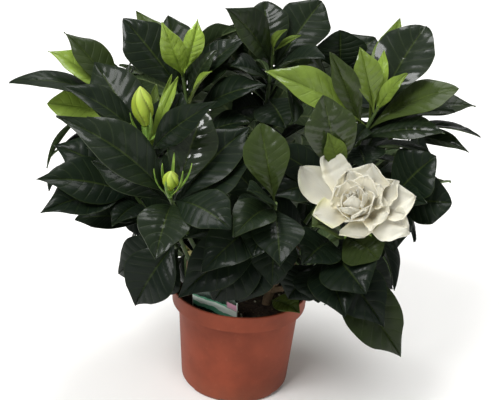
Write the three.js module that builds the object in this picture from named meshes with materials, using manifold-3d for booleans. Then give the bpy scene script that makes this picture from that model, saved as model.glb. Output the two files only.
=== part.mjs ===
// A gardenia in a plastic nursery pot: three rooted cuttings whose woody stems branch
// into leafy shoots, with one open double flower, three buds and a care label.
// Millimetres, +Z up, +X to the right in the photograph, +Y away from the viewer.
// The origin is the middle of the pot's flat underside.
import * as THREE from "three";
import { mergeVertices } from "three/addons/utils/BufferGeometryUtils.js";
import Module from "manifold-3d";

const wasm = await Module();
wasm.setup();

// Driving dimensions
const GAP = 0.3;
const POT_HEIGHT = 100;
const POT_RIM_RADIUS = 65;
const POT_BAND_HEIGHT = 17;
const POT_BAND_STEP = 6;
const POT_BODY_RADIUS = 57.4;
const POT_BASE_RADIUS = 47;
const POT_CORNER = 7;
const POT_WALL = 1.8;
const POT_FLOOR = 2.4;
const POT_SIDES = 28;
const NOTCH_COUNT = 6;
const NOTCH_WIDTH = 24;
const NOTCH_HEIGHT = 3;
const SOIL_TOP = 91;
const SOIL_SIDES = 16;
const SOIL_RINGS = 3;
const CLOD_HEIGHT = 1.6;
const HOLE_DEPTH = 26;
const HOLE_PLAY = 0.7;
const LABEL_WIDTH = 46;
const LABEL_HEIGHT = 62;
const LABEL_THICKNESS = 0.8;
const TRUNK_RADIUS = 4.2;
const BRANCH_RADIUS = 2.6;
const SHOOT_RADIUS = 1.9;
const YOUNG_RADIUS = 1.4;
const STEM_SIDES = 5;
const LEAF_THICKNESS = 0.8;
const PETIOLE_RADIUS = 0.6;
const ROOT_OFFSET = 1.2;
const PETAL_THICKNESS = 0.9;

// The photograph's view of the plant, used to read places from it: the eye's place, the
// axis below level, the photograph's lean, and the pixels of one unit at unit distance
const EYE = new THREE.Vector3(4, -883, 569.5);
const EYE_PITCH = THREE.MathUtils.degToRad(23.4);
const EYE_LEAN = THREE.MathUtils.degToRad(4);
const EYE_SCALE = 1051;
const PHOTO_MIDDLE = { px: 250, py: 200 };

// The three cuttings: foot in the soil and top of the woody trunk
const CUTTINGS = {
  left: { foot: [-24, -4], top: [-30, -8, 138] },
  right: { foot: [26, -17], top: [38, -22, 136] },
  back: { foot: [4, 28], top: [6, 38, 146] },
};

// Shoots: the cutting each one grows from, the height on its trunk, the point where its
// wood ends, the point it bends through and its head
const SHOOTS = `
name           cutting fork  wood_x wood_y wood_z  bend_x bend_y bend_z  head_x head_y head_z
top_left       left    0.95    -33      3    170     -50      9    232     -62     15    290
left_bud       left    0.80    -44    -22    158     -68    -42    210     -84    -62    257
front_left     left    0.65    -36    -42    146     -50    -78    192     -60   -110    232
low_left       left    0.50    -37    -32    120     -46    -54    150     -54    -80    184
far_left       left    0.88    -54      2    158     -90      8    216    -118     15    270
mid_left       left    0.72    -52    -16    136     -80    -26    172    -102    -35    206
right          right   0.97     54    -14    172      84    -16    228     104    -20    280
bloom          right   0.80     50    -46    150      73    -77    186      92    -99    212
centre_right   right   0.90     46    -28    158      68    -42    200      84    -54    240
front_centre   right   0.88     25    -46    150      25    -70    190      25    -90    225
low_right      right   0.55     46    -38    122      60    -62    154      72    -85    185
mid_right      right   0.70     62    -22    138     100    -26    176     133    -30    212
far_right      right   0.92     64     12    154     108     30    210     143     45    262
top_centre     back    0.97      9     32    190      12     31    250      15     30    312
top_right      back    0.90     32     42    176      58     52    240      80     60    300
back_left      back    0.85    -30     48    158     -64     74    212     -95     95    262
back_centre    back    0.92     -2     66    166      -6     98    226      -8    125    282
back_right     back    0.78     34     62    152      64     96    206      90    125    252
low_back_left  back    0.62    -46     46    138     -90     62    168    -130     78    196
low_back       back    0.55     10     70    132      16    112    164      20    148    196
low_back_right back    0.70     52     54    136     104     76    166     150     95    192
`;

// Young pale shoots that top some of the shoots, with the length of their own stem
const YOUNG = `
name             on         length
young_top_left   top_left   12
young_right      right      12
young_top_centre top_centre 10
`;

// Leaves read from the photograph: the shoot and the height on it that a leaf grows at,
// its tip (pixel of the photograph, and depth in mm), its width in mm, its arch as a share
// of its length, how far its upper side faces up from the viewer, and its roll in degrees
const LEAVES = `
shoot            at    tip_px tip_py depth width arch  face roll
top_left         0.90    123     18    24    44   0.08   40    0
young_top_left   0.50    162     22   -16    22   0.10   45  -20
young_top_left   0.72    198     19    22    20   0.10   45   30
young_top_left   0.92    154     51    -8     7   0.06   60    0
young_right      0.45    360     47   -14    26   0.08   45    0
young_right      0.70    407     73   -34    17   0.08   60    0
young_right      0.90    384     50     4    12   0.06   60    0
young_top_centre 0.55    287     29    16    12   0.16   60    0
young_top_centre 0.85    301     35    24     8   0.06   60    0
top_left         0.91    168     15    52    40   0.08   50    0
top_left         0.93    136     11    42    34   0.08   60    0
top_left         0.87    217     50    25    30   0.10   80    0
top_left         0.90    248     38    45    36   0.10   85    0
top_left         0.80    211     71   -22    20   0.06   60    0
top_left         0.84    230     54    30    38   0.08   85    0
top_left         0.74    266     85     0    40   0.10   70    0
top_left         0.55    250    122   -10    36   0.10   70    0
top_left         0.62    150     92    20    42   0.10   50    0
left_bud         0.95     94     62   -46    46   0.10   40    0
left_bud         0.91     62     86   -80    42   0.10   75    0
left_bud         0.94    217    101  -112    27   0.12   32    0
left_bud         0.83    182     92   -30    40   0.08   40    0
left_bud         0.98    178     77   -30    11   0.06   50    0
left_bud         0.96    172     74   -20     6   0.05   50    0
left_bud         0.95    156     84   -24    12   0.05   60    0
left_bud         0.94    166     95   -34    11   0.10   60    0
front_left       0.95     56    116  -120    48   0.12   60    0
front_left       0.88     91    161   -98    40   0.10   60    0
front_left       0.93    155    259  -172    42   0.16   30    0
front_left       0.91    204    108   -78    42   0.08   30    0
front_left       0.86    250    127   -58    44   0.12   55    0
front_left       0.96    231    229  -142    42   0.14   60    0
mid_left         0.94     40    213   -80    48   0.12   55    0
mid_left         0.88     36    179   -72    46   0.12   50    0
mid_left         0.98     54    145   -30    44   0.12   60    0
mid_left         0.78    112    226   -90    34   0.10   60    0
mid_left         0.60    100    200   -40    42   0.10   60    0
far_left         0.92      9     82   -10    38   0.12   80    0
far_left         0.96     48     51    18    38   0.10   70    0
far_left         0.98     64     32    40    36   0.08   70    0
far_left         0.90     86     58    60    34   0.08   60    0
far_left         0.84     47    103     0    38   0.10   45    0
low_left         0.97    135    306   -84    50   0.16   40    0
low_left         0.88    118    274   -60    42   0.14   40    0
low_left         0.84    156    290   -66    42   0.14   40    0
front_centre     0.78    178    298  -120    46   0.12   35    0
front_centre     0.72    236    303  -112    48   0.14   35    0
front_centre     0.90    252    258  -136    42   0.14   50    0
front_centre     0.98    260    123   -72    40   0.10   30    0
front_centre     0.95    247    190  -120    28   0.08   60    0
front_centre     0.92    233    237  -148    36   0.14   60    0
front_centre     0.89    280    266  -146    42   0.16   40    0
front_centre     0.84    201    273  -142    42   0.14   50    0
front_centre     0.80    272    286  -122    40   0.12   40    0
front_centre     0.87    233    209  -128    28   0.10   60    0
front_centre     0.74    256    292   -96    44   0.12   40    0
centre_right     0.90    323     95   -48    44   0.08   30    0
centre_right     0.98    328    133   -84    20   0.06   30    0
centre_right     0.84    269    196  -112    34   0.10   60    0
bloom            0.80    379    259  -152    48   0.14   45    0
bloom            0.62    302    264  -140    44   0.14   45    0
bloom            0.74    312    226  -146    34   0.10   60    0
low_right        0.97    366    294  -146    50   0.14   40    0
low_right        0.91    384    327  -122    48   0.14   40    0
low_right        0.85    401    357  -100    50   0.16   35    0
low_right        0.79    345    317  -132    44   0.14   40    0
low_right        0.71    318    303  -112    44   0.12   40    0
low_right        0.66    288    299  -100    42   0.12   40    0
low_right        0.94    393    289  -100    36   0.10   60    0
mid_right        0.96    436    156   -50    50   0.12   50    0
mid_right        0.98    451    181   -34    26   0.06   98    0
mid_right        0.92    452    203   -66    46   0.14   50    0
mid_right        0.88    427    203   -92    28   0.10   40    0
mid_right        0.83    394    252  -100    40   0.12   50    0
right            0.94    426     26     0    52   0.10   35    0
right            0.92    400     18    40    28   0.08   50    0
right            0.90    459     88   -12    40   0.10   70    0
right            0.93    265     71   -48    40   0.08   55    0
right            0.87    330     52   -24    24   0.08   40    0
right            0.82    445    133   -42    34   0.10   70    0
right            0.77    366    168   -50    40   0.10   50    0
far_right        0.97    476    106    48    32   0.10   75    0
far_right        0.98    458     97    80    40   0.10   60    0
far_right        0.90    481    137    36    30   0.08   95    0
far_right        0.85    469    152    14    36   0.08   85    0
far_right        0.93    455    112    14    38   0.10   80    0
top_centre       0.94    226      8    14    42   0.10   50    0
top_centre       0.92    264      1    44    42   0.08   40    0
top_centre       0.90    322      1    34    48   0.08   40    0
top_centre       0.86    325     58    -4    38   0.12   75    0
top_centre       0.83    230     66    14    38   0.12   75    0
top_centre       0.70    286    128   -10    46   0.10   50    0
top_centre       0.64    232    112     0    44   0.10   60    0
top_right        0.97    340     30    52    50   0.10   50    0
top_right        0.94    376     38    92    44   0.10   60    0
top_right        0.80    330    104    10    46   0.10   50    0
mid_right        0.60    356    276   -70    44   0.12   50    0
`;

// Leaves that the photograph hides, in whorls up a shoot: how many whorls, the leaves in
// each and the turns that they spread over (degrees, 90 is away from the viewer), the
// lowest and highest place on the shoot, the pitch there in degrees, and the length
const WHORLS = `
shoot          whorls each from  to   low  high pitch_low pitch_high length
back_left      4      3    40    240  0.42 0.95 -40       45         112
back_centre    4      3    -20   200  0.42 0.95 -36       50         112
back_right     4      3    -60   140  0.42 0.95 -40       45         112
low_back_left  3      4    60    280  0.50 0.95 -50       10         106
low_back       3      4    -10   190  0.50 0.95 -50       10         106
low_back_right 3      4    -100  120  0.50 0.95 -50       10         106
top_right      2      3    -20   160  0.50 0.75 -20       16         98
top_centre     1      3    30    150  0.50 0.50 -10       0          98
far_left       2      3    110   250  0.45 0.72 -40       -6         98
far_right      2      3    -80   70   0.45 0.76 -40       -6         98
mid_left       1      3    120   240  0.50 0.50 -50       -50        88
mid_right      1      3    -70   60   0.50 0.50 -50       -50        88
`;
const WHORL_TRIES = 40;
const WHORL_SEED = 4711;
const CROWN = { x: 4, y: 6, z: 196, across: 196, deep: 188, high: 142 };

// The foliage's outline in the photograph (pixels), which hidden leaves stay inside
const OUTLINE = `
 px  py
 20  72
 62  40
112  62
124  20
225  12
322   4
378  38
428  28
436  76
478 108
432 146
452 204
420 236
402 262
404 300
398 350
350 316
300 296
262 284
196 292
196 240
182 236
174 290
136 304
120 270
118 238
 42 212
 40 178
 56 120
`;

// Petals: the pixel of the tip, its rise over the flower's plane, the width and the arch
const PETALS = `
 px  py rise width arch
329 151   16    38 0.10
300 167   12    34 0.14
316 213    5    34 0.12
361 237   -5    42 0.10
400 230   -4    42 0.10
413 194    6    42 0.12
395 180   13    30 0.12
371 164   20    40 0.14
349 171   20    28 0.14
386 212    8    38 0.14
338 188   16    32 0.16
377 186   18    34 0.18
362 216   11    28 0.16
340 206   13    28 0.18
366 179   22    30 0.28
348 183   22    25 0.30
371 196   21    24 0.30
363 207   19    24 0.26
351 206   20    22 0.26
345 195   21    22 0.30
357 188   25    18 0.30
362 195   25    17 0.30
353 196   25    17 0.30
`;
const INNER_RISE = 17;
const PETAL_CUP = 0.42;
const PETAL_CLIMB = 0.8;
const FLOWER_FACE = new THREE.Vector3(-0.18, -0.42, 0.89).normalize();
const FLOWER_CORE_RADIUS = 6;
const PETAL_ROOT = 3.5;

// Buds: the shoot that carries one, the calyx tube's length and radius, the bud's length
// and radius (0 where the calyx still hides it), the lean of both, and the number, length,
// width, start below the tube's end, and least and most spread (in radians) of its lobes
const BUDS = `
name      on         tube tube_radius bud bud_radius lean_x lean_y lean_z lobes lobe wide drop low  high
bloom     bloom      11   4.2         0   0          -0.18  -0.42  0.89   5     17   5.2  2.5  1.5  1.9
left_bud  left_bud   18   3.4         36  7.2        -0.12  -0.16  0.98   5     31   3.6  14   0.3  0.7
front_bud front_left 8    3.0         19  5.2         0.04  -0.30  0.95   6     33   2.6  5    0.3  0.6
`;
const LOBE_TURN = 0.35;
const BUD_RIBS = 5;
const BUD_RIB_DEPTH = 0.13;
const BUD_TWIST = 1.5;

// Single pieces low on the plant: a small leaf from the right trunk's foot that lies over
// the rim, and a cut twig at the left that ends in a yellowed leaf
const BASAL_LEAF = { at: 0.43, px: 300, py: 313, depth: -50, width: 25 };
const TWIG = { foot: [-46, -12], bend: [-47, -15, 108], top: [-47, -31, 138] };
const YELLOW_LEAF = { px: 188, py: 239, depth: -36, width: 11 };

const DARK_LEAF = { color: "#2b3f2b", roughness: 0.32, metalness: 0 };
const YOUNG_LEAF = { color: "#7d9a3e", roughness: 0.42, metalness: 0 };
const WOOD = { color: "#6a5440", roughness: 0.9, metalness: 0 };
const PETAL = { color: "#ece7d8", roughness: 0.55, metalness: 0 };
const BUD = { color: "#a3bf4f", roughness: 0.45, metalness: 0 };
const CALYX = { color: "#6f9440", roughness: 0.5, metalness: 0 };
const PLASTIC = { color: "#a35b43", roughness: 0.55, metalness: 0 };
const EARTH = { color: "#2e241d", roughness: 1, metalness: 0 };
const LABEL = { color: "#dfeee4", roughness: 0.25, metalness: 0 };
const YELLOWED = { color: "#d9cf86", roughness: 0.6, metalness: 0 };

const UP = new THREE.Vector3(0, 0, 1);
const RIGHT = new THREE.Vector3(1, 0, 0);
const group = new THREE.Group();

// Small helpers

function rows(text) {
  const lines = text.trim().split("\n");
  const names = lines[0].trim().split(/\s+/);
  return lines.slice(1).map((line) => {
    const cells = line.trim().split(/\s+/);
    const entries = names.map((name, i) => [name, isNaN(cells[i]) ? cells[i] : Number(cells[i])]);
    return Object.fromEntries(entries);
  });
}

function lottery(seed) {
  let state = seed;
  return (low, high) => {
    state = (state * 16807) % 2147483647;
    return low + ((high - low) * state) / 2147483647;
  };
}

function along(from, direction, distance) {
  return from.clone().addScaledVector(direction, distance);
}

// The place that the photograph shows at a pixel, at a depth behind the pot's middle
function seen(px, py, depth) {
  const right = px - PHOTO_MIDDLE.px;
  const down = py - PHOTO_MIDDLE.py;
  const across = right * Math.cos(EYE_LEAN) + down * Math.sin(EYE_LEAN);
  const rise = right * Math.sin(EYE_LEAN) - down * Math.cos(EYE_LEAN);
  const ray = new THREE.Vector3(
    across,
    EYE_SCALE * Math.cos(EYE_PITCH) + rise * Math.sin(EYE_PITCH),
    -EYE_SCALE * Math.sin(EYE_PITCH) + rise * Math.cos(EYE_PITCH),
  );
  return along(EYE, ray, (depth - EYE.y) / ray.y);
}

// The pixel of the photograph at which a place shows
function pixelOf(place) {
  const way = place.clone().sub(EYE);
  const distance = way.y * Math.cos(EYE_PITCH) - way.z * Math.sin(EYE_PITCH);
  const rise = (EYE_SCALE * (way.y * Math.sin(EYE_PITCH) + way.z * Math.cos(EYE_PITCH))) / distance;
  const across = (EYE_SCALE * way.x) / distance;
  return {
    px: PHOTO_MIDDLE.px + across * Math.cos(EYE_LEAN) + rise * Math.sin(EYE_LEAN),
    py: PHOTO_MIDDLE.py + across * Math.sin(EYE_LEAN) - rise * Math.cos(EYE_LEAN),
  };
}

// Solids

function solidOf(positions, triangles) {
  return new wasm.Manifold(new wasm.Mesh({
    numProp: 3,
    vertProperties: new Float32Array(positions),
    triVerts: new Uint32Array(triangles),
  }));
}

function solid(geometry) {
  const bare = geometry.clone();
  bare.deleteAttribute("normal");
  bare.deleteAttribute("uv");
  const merged = mergeVertices(bare, 1e-4);
  return solidOf(merged.attributes.position.array, merged.index.array);
}

function joined(solids) {
  return solids.reduce((sum, each) => sum.add(each));
}

function addNode(name, shape, look) {
  const bodies = shape.simplify(0.02).decompose();
  bodies.sort((a, b) => b.volume() - a.volume());
  const mesh = bodies[0].getMesh();
  const geometry = new THREE.BufferGeometry();
  geometry.setAttribute("position", new THREE.BufferAttribute(mesh.vertProperties, 3));
  geometry.setIndex(new THREE.BufferAttribute(mesh.triVerts, 1));
  geometry.computeVertexNormals();
  const node = new THREE.Mesh(geometry, new THREE.MeshStandardMaterial(look));
  node.name = name;
  group.add(node);
}

// Stems

class Stretch extends THREE.Curve {
  constructor(curve, from, to) {
    super();
    Object.assign(this, { curve, from, to });
  }

  getPoint(t, target = new THREE.Vector3()) {
    return this.curve.getPointAt(this.from + (this.to - this.from) * t, target);
  }
}

function stem(curve, radius, steps, sides = STEM_SIDES) {
  const outline = new THREE.Shape();
  for (let i = 0; i < sides; i++) {
    const angle = (2 * Math.PI * i) / sides;
    const draw = i === 0 ? "moveTo" : "lineTo";
    outline[draw](radius * Math.cos(angle), radius * Math.sin(angle));
  }
  const options = { steps, bevelEnabled: false, extrudePath: curve };
  return solid(new THREE.ExtrudeGeometry(outline, options));
}

// Blades: leaves, petals and calyx lobes

const LEAF_STATIONS = [0, 0.26, 0.54, 0.81, 1];
const PLAIN_STATIONS = [0, 0.36, 0.72, 1];
const PETAL_STATIONS = [0, 0.5, 0.86, 1];
const INNER_PETAL_STATIONS = [0, 0.6, 0.9, 1];
const LOBE_STATIONS = [0, 0.4, 1];
const OUTER_SHARE = 0.18;
const SMALL_LEAF = 44;
const LEAF_OUTLINE = { petiole: 0.07, belly: 1.18, point: 1.1 };
const PETAL_OUTLINE = { petiole: 0, belly: 1.75, point: 0.55 };
const LOBE_OUTLINE = { petiole: 0, belly: 0.8, point: 0.8 };

function frameOf(leaf) {
  const chord = leaf.tip.clone().sub(leaf.base);
  const length = chord.length();
  const forward = chord.divideScalar(length);
  const normal = along(leaf.face, forward, -leaf.face.dot(forward)).normalize();
  normal.applyAxisAngle(forward, THREE.MathUtils.degToRad(leaf.roll));
  const across = forward.clone().cross(normal);
  return { length, forward, normal, across };
}

function halfWidth(leaf, t) {
  const { petiole, belly, point } = leaf.outline;
  const s = Math.max(0, (t - petiole) / (1 - petiole));
  const share = Math.max(0, Math.sin(Math.PI * s ** belly)) ** point;
  return leaf.root + (leaf.width / 2 - leaf.root) * share;
}

function blade(leaf, from = 0, swell = 0) {
  const { length, forward, normal, across } = frameOf(leaf);
  const positions = [];
  const put = (point) => positions.push(point.x, point.y, point.z);
  const stations = leaf.stations.filter((t) => t >= from);
  for (const [i, t] of stations.entries()) {
    const slope = Math.atan(4 * leaf.arch * (1 - 2 * t));
    const local = normal.clone().multiplyScalar(Math.cos(slope));
    local.addScaledVector(forward, -Math.sin(slope));
    const middle = along(leaf.base, forward, length * t);
    middle.addScaledVector(normal, 4 * leaf.arch * length * t * (1 - t));
    const half = halfWidth(leaf, t) + swell;
    const thick = leaf.thickness * (t === 0 ? leaf.rootThickness : 1) + 2 * swell;
    const places = i === 0 ? [-1, 1] : [-1, 0, 1];
    if (t === 1) {
      places.splice(0, 3, 0);
    }
    for (const side of [thick / 2, -thick / 2]) {
      for (const place of places) {
        const lift = half * Math.abs(place) * Math.sin(leaf.fold);
        const wave = Math.abs(place) * leaf.wave * Math.sin(leaf.phase + 9 * t + 2 * place);
        const point = along(middle, across, place * half * Math.cos(leaf.fold));
        put(point.addScaledVector(local, side + lift + wave));
      }
    }
  }
  return solidOf(positions, bladeTriangles(stations.length - 1));
}

// The root station holds its upper left and right and then its lower ones, the middle
// stations their left, middle and right likewise, and the last the tip, upper and lower
function bladeTriangles(strips) {
  const triangles = [[0, 2, 3], [0, 3, 1]];
  for (let i = 0; i < strips; i++) {
    const a = 6 * i - 2;
    const [l, m, r, ll, lm, lr] = i === 0 ? [0, null, 1, 2, null, 3]
      : [a, a + 1, a + 2, a + 3, a + 4, a + 5];
    const b = a + 6;
    const [L, M, R, LL, LM, LR] = i === strips - 1 ? [b, b, b, b + 1, b + 1, b + 1]
      : [b, b + 1, b + 2, b + 3, b + 4, b + 5];
    if (i === 0) {
      triangles.push([l, r, M], [lr, ll, LM]);
    } else {
      triangles.push([l, m, M], [m, r, M], [lm, ll, LM], [lr, lm, LM]);
    }
    if (i < strips - 1) {
      triangles.push([l, M, L], [r, R, M], [ll, LL, LM], [lr, LM, LR]);
    }
    triangles.push([l, L, LL], [l, LL, ll], [r, lr, LR], [r, LR, R]);
  }
  return triangles.flat();
}

// Pot

function pot() {
  const inner = POT_WALL;
  const bandFoot = POT_HEIGHT - POT_BAND_HEIGHT;
  const profile = [
    [0, 0],
    [POT_BASE_RADIUS, 0],
    [POT_BASE_RADIUS + 3.4, 1.9],
    [POT_BASE_RADIUS + 4.6, POT_CORNER],
    [POT_BODY_RADIUS, bandFoot],
    [POT_BODY_RADIUS + POT_BAND_STEP, bandFoot + 1.2],
    [POT_RIM_RADIUS - 0.5, POT_HEIGHT - 1],
    [POT_RIM_RADIUS - 1, POT_HEIGHT],
    [POT_RIM_RADIUS - inner - 1, POT_HEIGHT],
    [POT_BODY_RADIUS + POT_BAND_STEP - inner, bandFoot + 1.2 + inner],
    [POT_BODY_RADIUS - inner, bandFoot + inner - 1],
    [POT_BASE_RADIUS + 4.6 - inner, POT_CORNER + 1],
    [POT_BASE_RADIUS, POT_FLOOR],
    [0, POT_FLOOR],
  ];
  const points = profile.map(([radius, height]) => new THREE.Vector2(radius, height));
  const shell = new THREE.LatheGeometry(points, POT_SIDES);
  shell.rotateX(Math.PI / 2);
  let body = solid(shell);
  for (let i = 0; i < NOTCH_COUNT; i++) {
    const notch = new THREE.BoxGeometry(NOTCH_WIDTH, 2 * POT_WALL + 4, 2 * NOTCH_HEIGHT);
    notch.translate(0, -(POT_BASE_RADIUS + 3.4), 0);
    notch.rotateZ((2 * Math.PI * i) / NOTCH_COUNT);
    body = body.subtract(solid(notch));
  }
  return body;
}

// Soil, which fills the band too, with a clodded top and plain holes for the trunks and the label

function soil() {
  const bandFoot = POT_HEIGHT - POT_BAND_HEIGHT;
  const wall = POT_WALL + GAP;
  const bandInner = POT_BODY_RADIUS + POT_BAND_STEP - wall - 0.5;
  const profile = [
    [0, POT_FLOOR + GAP],
    [POT_BASE_RADIUS - 1, POT_FLOOR + GAP],
    [POT_BASE_RADIUS + 4 - wall, POT_CORNER + 2],
    [POT_BODY_RADIUS - wall - 0.2, bandFoot - 1],
    [POT_BODY_RADIUS - wall - 0.1, bandFoot + 1.3],
    [bandInner, bandFoot + 3.6],
    [bandInner, SOIL_TOP - 1],
  ];
  for (let i = SOIL_RINGS - 1; i >= 0; i--) {
    profile.push([((bandInner - 1) * i) / SOIL_RINGS, SOIL_TOP]);
  }
  const points = profile.map(([radius, height]) => new THREE.Vector2(radius, height));
  const bed = new THREE.LatheGeometry(points, SOIL_SIDES);
  bed.rotateX(Math.PI / 2);
  bed.deleteAttribute("normal");
  bed.deleteAttribute("uv");
  const merged = mergeVertices(bed, 1e-3);
  const spots = merged.attributes.position;
  const draw = lottery(77);
  for (let i = 0; i < spots.count; i++) {
    if (spots.getZ(i) > SOIL_TOP - 0.5) {
      spots.setZ(i, SOIL_TOP + draw(-CLOD_HEIGHT, CLOD_HEIGHT));
    }
  }
  return solid(merged);
}

// Care label: a plain card pushed into the soil just inside the rim at the front left

function label(grow = 0) {
  const card = new THREE.BoxGeometry(
    LABEL_WIDTH + 2 * grow,
    LABEL_THICKNESS + 2 * grow,
    LABEL_HEIGHT + 2 * grow,
  );
  card.rotateX(THREE.MathUtils.degToRad(6));
  card.translate(0, -48.5, 84);
  card.rotateZ(THREE.MathUtils.degToRad(-25));
  return solid(card);
}

// Wood: a trunk for each cutting and the branches to its shoots

function trunkCurve({ foot, top }) {
  const low = new THREE.Vector3(foot[0], foot[1], SOIL_TOP - HOLE_DEPTH);
  const soilLine = new THREE.Vector3(foot[0], foot[1], SOIL_TOP);
  return new THREE.CatmullRomCurve3([low, soilLine, new THREE.Vector3(...top)]);
}

function shootCurve(row) {
  const trunk = trunkCurve(CUTTINGS[row.cutting]);
  return new THREE.CatmullRomCurve3([
    trunk.getPointAt(row.fork),
    new THREE.Vector3(row.wood_x, row.wood_y, row.wood_z),
    new THREE.Vector3(row.bend_x, row.bend_y, row.bend_z),
    new THREE.Vector3(row.head_x, row.head_y, row.head_z),
  ]);
}

// The share of a shoot's whole curve at which its wood ends
function woodEnd(curve, row) {
  const end = new THREE.Vector3(row.wood_x, row.wood_y, row.wood_z);
  let best = 0;
  for (let i = 0; i <= 200; i++) {
    const here = curve.getPointAt(i / 200).distanceTo(end);
    best = here < curve.getPointAt(best).distanceTo(end) ? i / 200 : best;
  }
  return best;
}

// Everything placed so far, each solid with its box and the node it belongs to
const placed = [];

function boxOf(shape) {
  const { min, max } = shape.boundingBox();
  return new THREE.Box3(new THREE.Vector3(...min), new THREE.Vector3(...max));
}

function keep(node, shape) {
  placed.push({ node, shape, box: boxOf(shape) });
}

function meets(shape, box, other) {
  if (!box.intersectsBox(other.box)) {
    return false;
  }
  const common = shape.intersect(other.shape);
  const overlap = common.volume() > 1e-6;
  common.delete();
  return overlap;
}

// A leaf fits if a thicker one clears every other node and its outer part clears its own
function fits(leaf, node) {
  const thick = blade(leaf, 0, 0.45);
  const outer = blade(leaf, OUTER_SHARE, 0.1);
  const thickBox = boxOf(thick);
  const outerBox = boxOf(outer);
  const blocked = placed.some((other) => (
    other.node === node ? meets(outer, outerBox, other) : meets(thick, thickBox, other)
  ));
  thick.delete();
  outer.delete();
  return !blocked;
}

// Assembly of the shoots

const shoots = {};
const wood = { left: [], right: [], back: [] };

for (const [name, cutting] of Object.entries(CUTTINGS)) {
  wood[name].push(stem(trunkCurve(cutting), TRUNK_RADIUS, 3, 7));
}

for (const row of rows(SHOOTS)) {
  const curve = shootCurve(row);
  const end = woodEnd(curve, row);
  const gap = GAP / curve.getLength();
  const green = new Stretch(curve, end + gap, 1);
  wood[row.cutting].push(stem(new Stretch(curve, 0, end), BRANCH_RADIUS, 2));
  shoots[row.name] = { curve: green, solids: [stem(green, SHOOT_RADIUS, 3)], look: DARK_LEAF };
}

for (const row of rows(YOUNG)) {
  const parent = shoots[row.on].curve;
  const way = parent.getTangentAt(1);
  const foot = along(parent.getPointAt(1), way, GAP);
  const top = along(foot, way, row.length);
  const curve = new THREE.LineCurve3(foot, top);
  shoots[row.name] = { curve, solids: [stem(curve, YOUNG_RADIUS, 1)], look: YOUNG_LEAF };
}

for (const [name, solids] of Object.entries(wood)) {
  const shape = joined(solids);
  keep(`woody_stem_${name}`, shape);
}
for (const [name, shoot] of Object.entries(shoots)) {
  keep(name, shoot.solids[0]);
}
const potShape = pot();
keep("pot", potShape);

// Buds, and the calyx under the flower

const nodes = [];

function bladeOf(base, tip, face, options) {
  return { base, tip, face, roll: 0, fold: 0.3, wave: 0, phase: 0, rootThickness: 1, ...options };
}

function turned(geometry, foot, axis) {
  const turn = new THREE.Quaternion().setFromUnitVectors(UP, axis);
  geometry.applyQuaternion(turn);
  return geometry.translate(foot.x, foot.y, foot.z);
}

function calyxLobes(row, foot, axis) {
  const side = along(RIGHT, axis, -RIGHT.dot(axis)).normalize();
  const draw = lottery(row.lobes * 41);
  const lobes = [];
  for (let i = 0; i < row.lobes; i++) {
    const turn = LOBE_TURN + (2 * Math.PI * i) / row.lobes + draw(-0.2, 0.2);
    const out = side.clone().applyAxisAngle(axis, turn);
    const spread = draw(row.low, row.high);
    const way = axis.clone().multiplyScalar(Math.cos(spread)).addScaledVector(out, Math.sin(spread));
    const base = along(along(foot, axis, row.tube - row.drop), out, row.tube_radius - 1.2);
    const tip = along(base, way, row.lobe * draw(0.8, 1.1));
    lobes.push(blade(bladeOf(base, tip, axis, {
      width: row.wide,
      arch: row.bud ? -0.1 : 0.05,
      root: 1.2,
      thickness: 0.9,
      outline: LOBE_OUTLINE,
      stations: LOBE_STATIONS,
    })));
  }
  return lobes;
}

function budBody(row, foot, axis) {
  const heights = [0, 0.1, 0.35, 0.65, 0.88, 1];
  const radii = [0.3, 0.55, 0.95, 0.9, 0.45, 0.06];
  const points = heights.map((h, i) => new THREE.Vector2(row.bud_radius * radii[i], row.bud * h));
  const profile = [new THREE.Vector2(0, 0), ...points, new THREE.Vector2(0, row.bud)];
  const body = new THREE.LatheGeometry(profile, 3 * BUD_RIBS);
  body.rotateX(Math.PI / 2);
  const spots = body.attributes.position;
  for (let i = 0; i < spots.count; i++) {
    const [x, y, z] = [spots.getX(i), spots.getY(i), spots.getZ(i)];
    const turn = Math.atan2(y, x) + (BUD_TWIST * z) / row.bud;
    const rib = 1 + BUD_RIB_DEPTH * Math.cos(BUD_RIBS * turn);
    spots.setXYZ(i, x * rib, y * rib, z);
  }
  return solid(turned(body, foot, axis));
}

const calyxTops = {};
for (const row of rows(BUDS)) {
  const parent = shoots[row.on].curve;
  const axis = new THREE.Vector3(row.lean_x, row.lean_y, row.lean_z).normalize();
  const foot = along(parent.getPointAt(1), parent.getTangentAt(1), GAP + 0.9);
  const tube = new THREE.CylinderGeometry(row.tube_radius, SHOOT_RADIUS, row.tube, 8);
  tube.rotateX(Math.PI / 2).translate(0, 0, row.tube / 2);
  const calyx = joined([solid(turned(tube, foot, axis)), ...calyxLobes(row, foot, axis)]);
  calyxTops[row.name] = along(foot, axis, row.tube + GAP);
  nodes.push([`calyx_${row.name}`, calyx, CALYX]);
  keep(`calyx_${row.name}`, calyx);
  if (row.bud) {
    const bud = budBody(row, calyxTops[row.name], axis);
    nodes.push([`bud_${row.name}`, bud, BUD]);
    keep(`bud_${row.name}`, bud);
  }
}

// The flower

const flowerHeart = along(calyxTops.bloom, FLOWER_FACE, FLOWER_CORE_RADIUS);
// The place over the flower's plane that the photograph shows at a pixel
function overFlower(px, py, rise) {
  const near = seen(px, py, 0).sub(EYE);
  const height = flowerHeart.clone().sub(EYE).dot(FLOWER_FACE) + rise;
  return along(EYE, near, height / near.dot(FLOWER_FACE));
}

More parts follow.
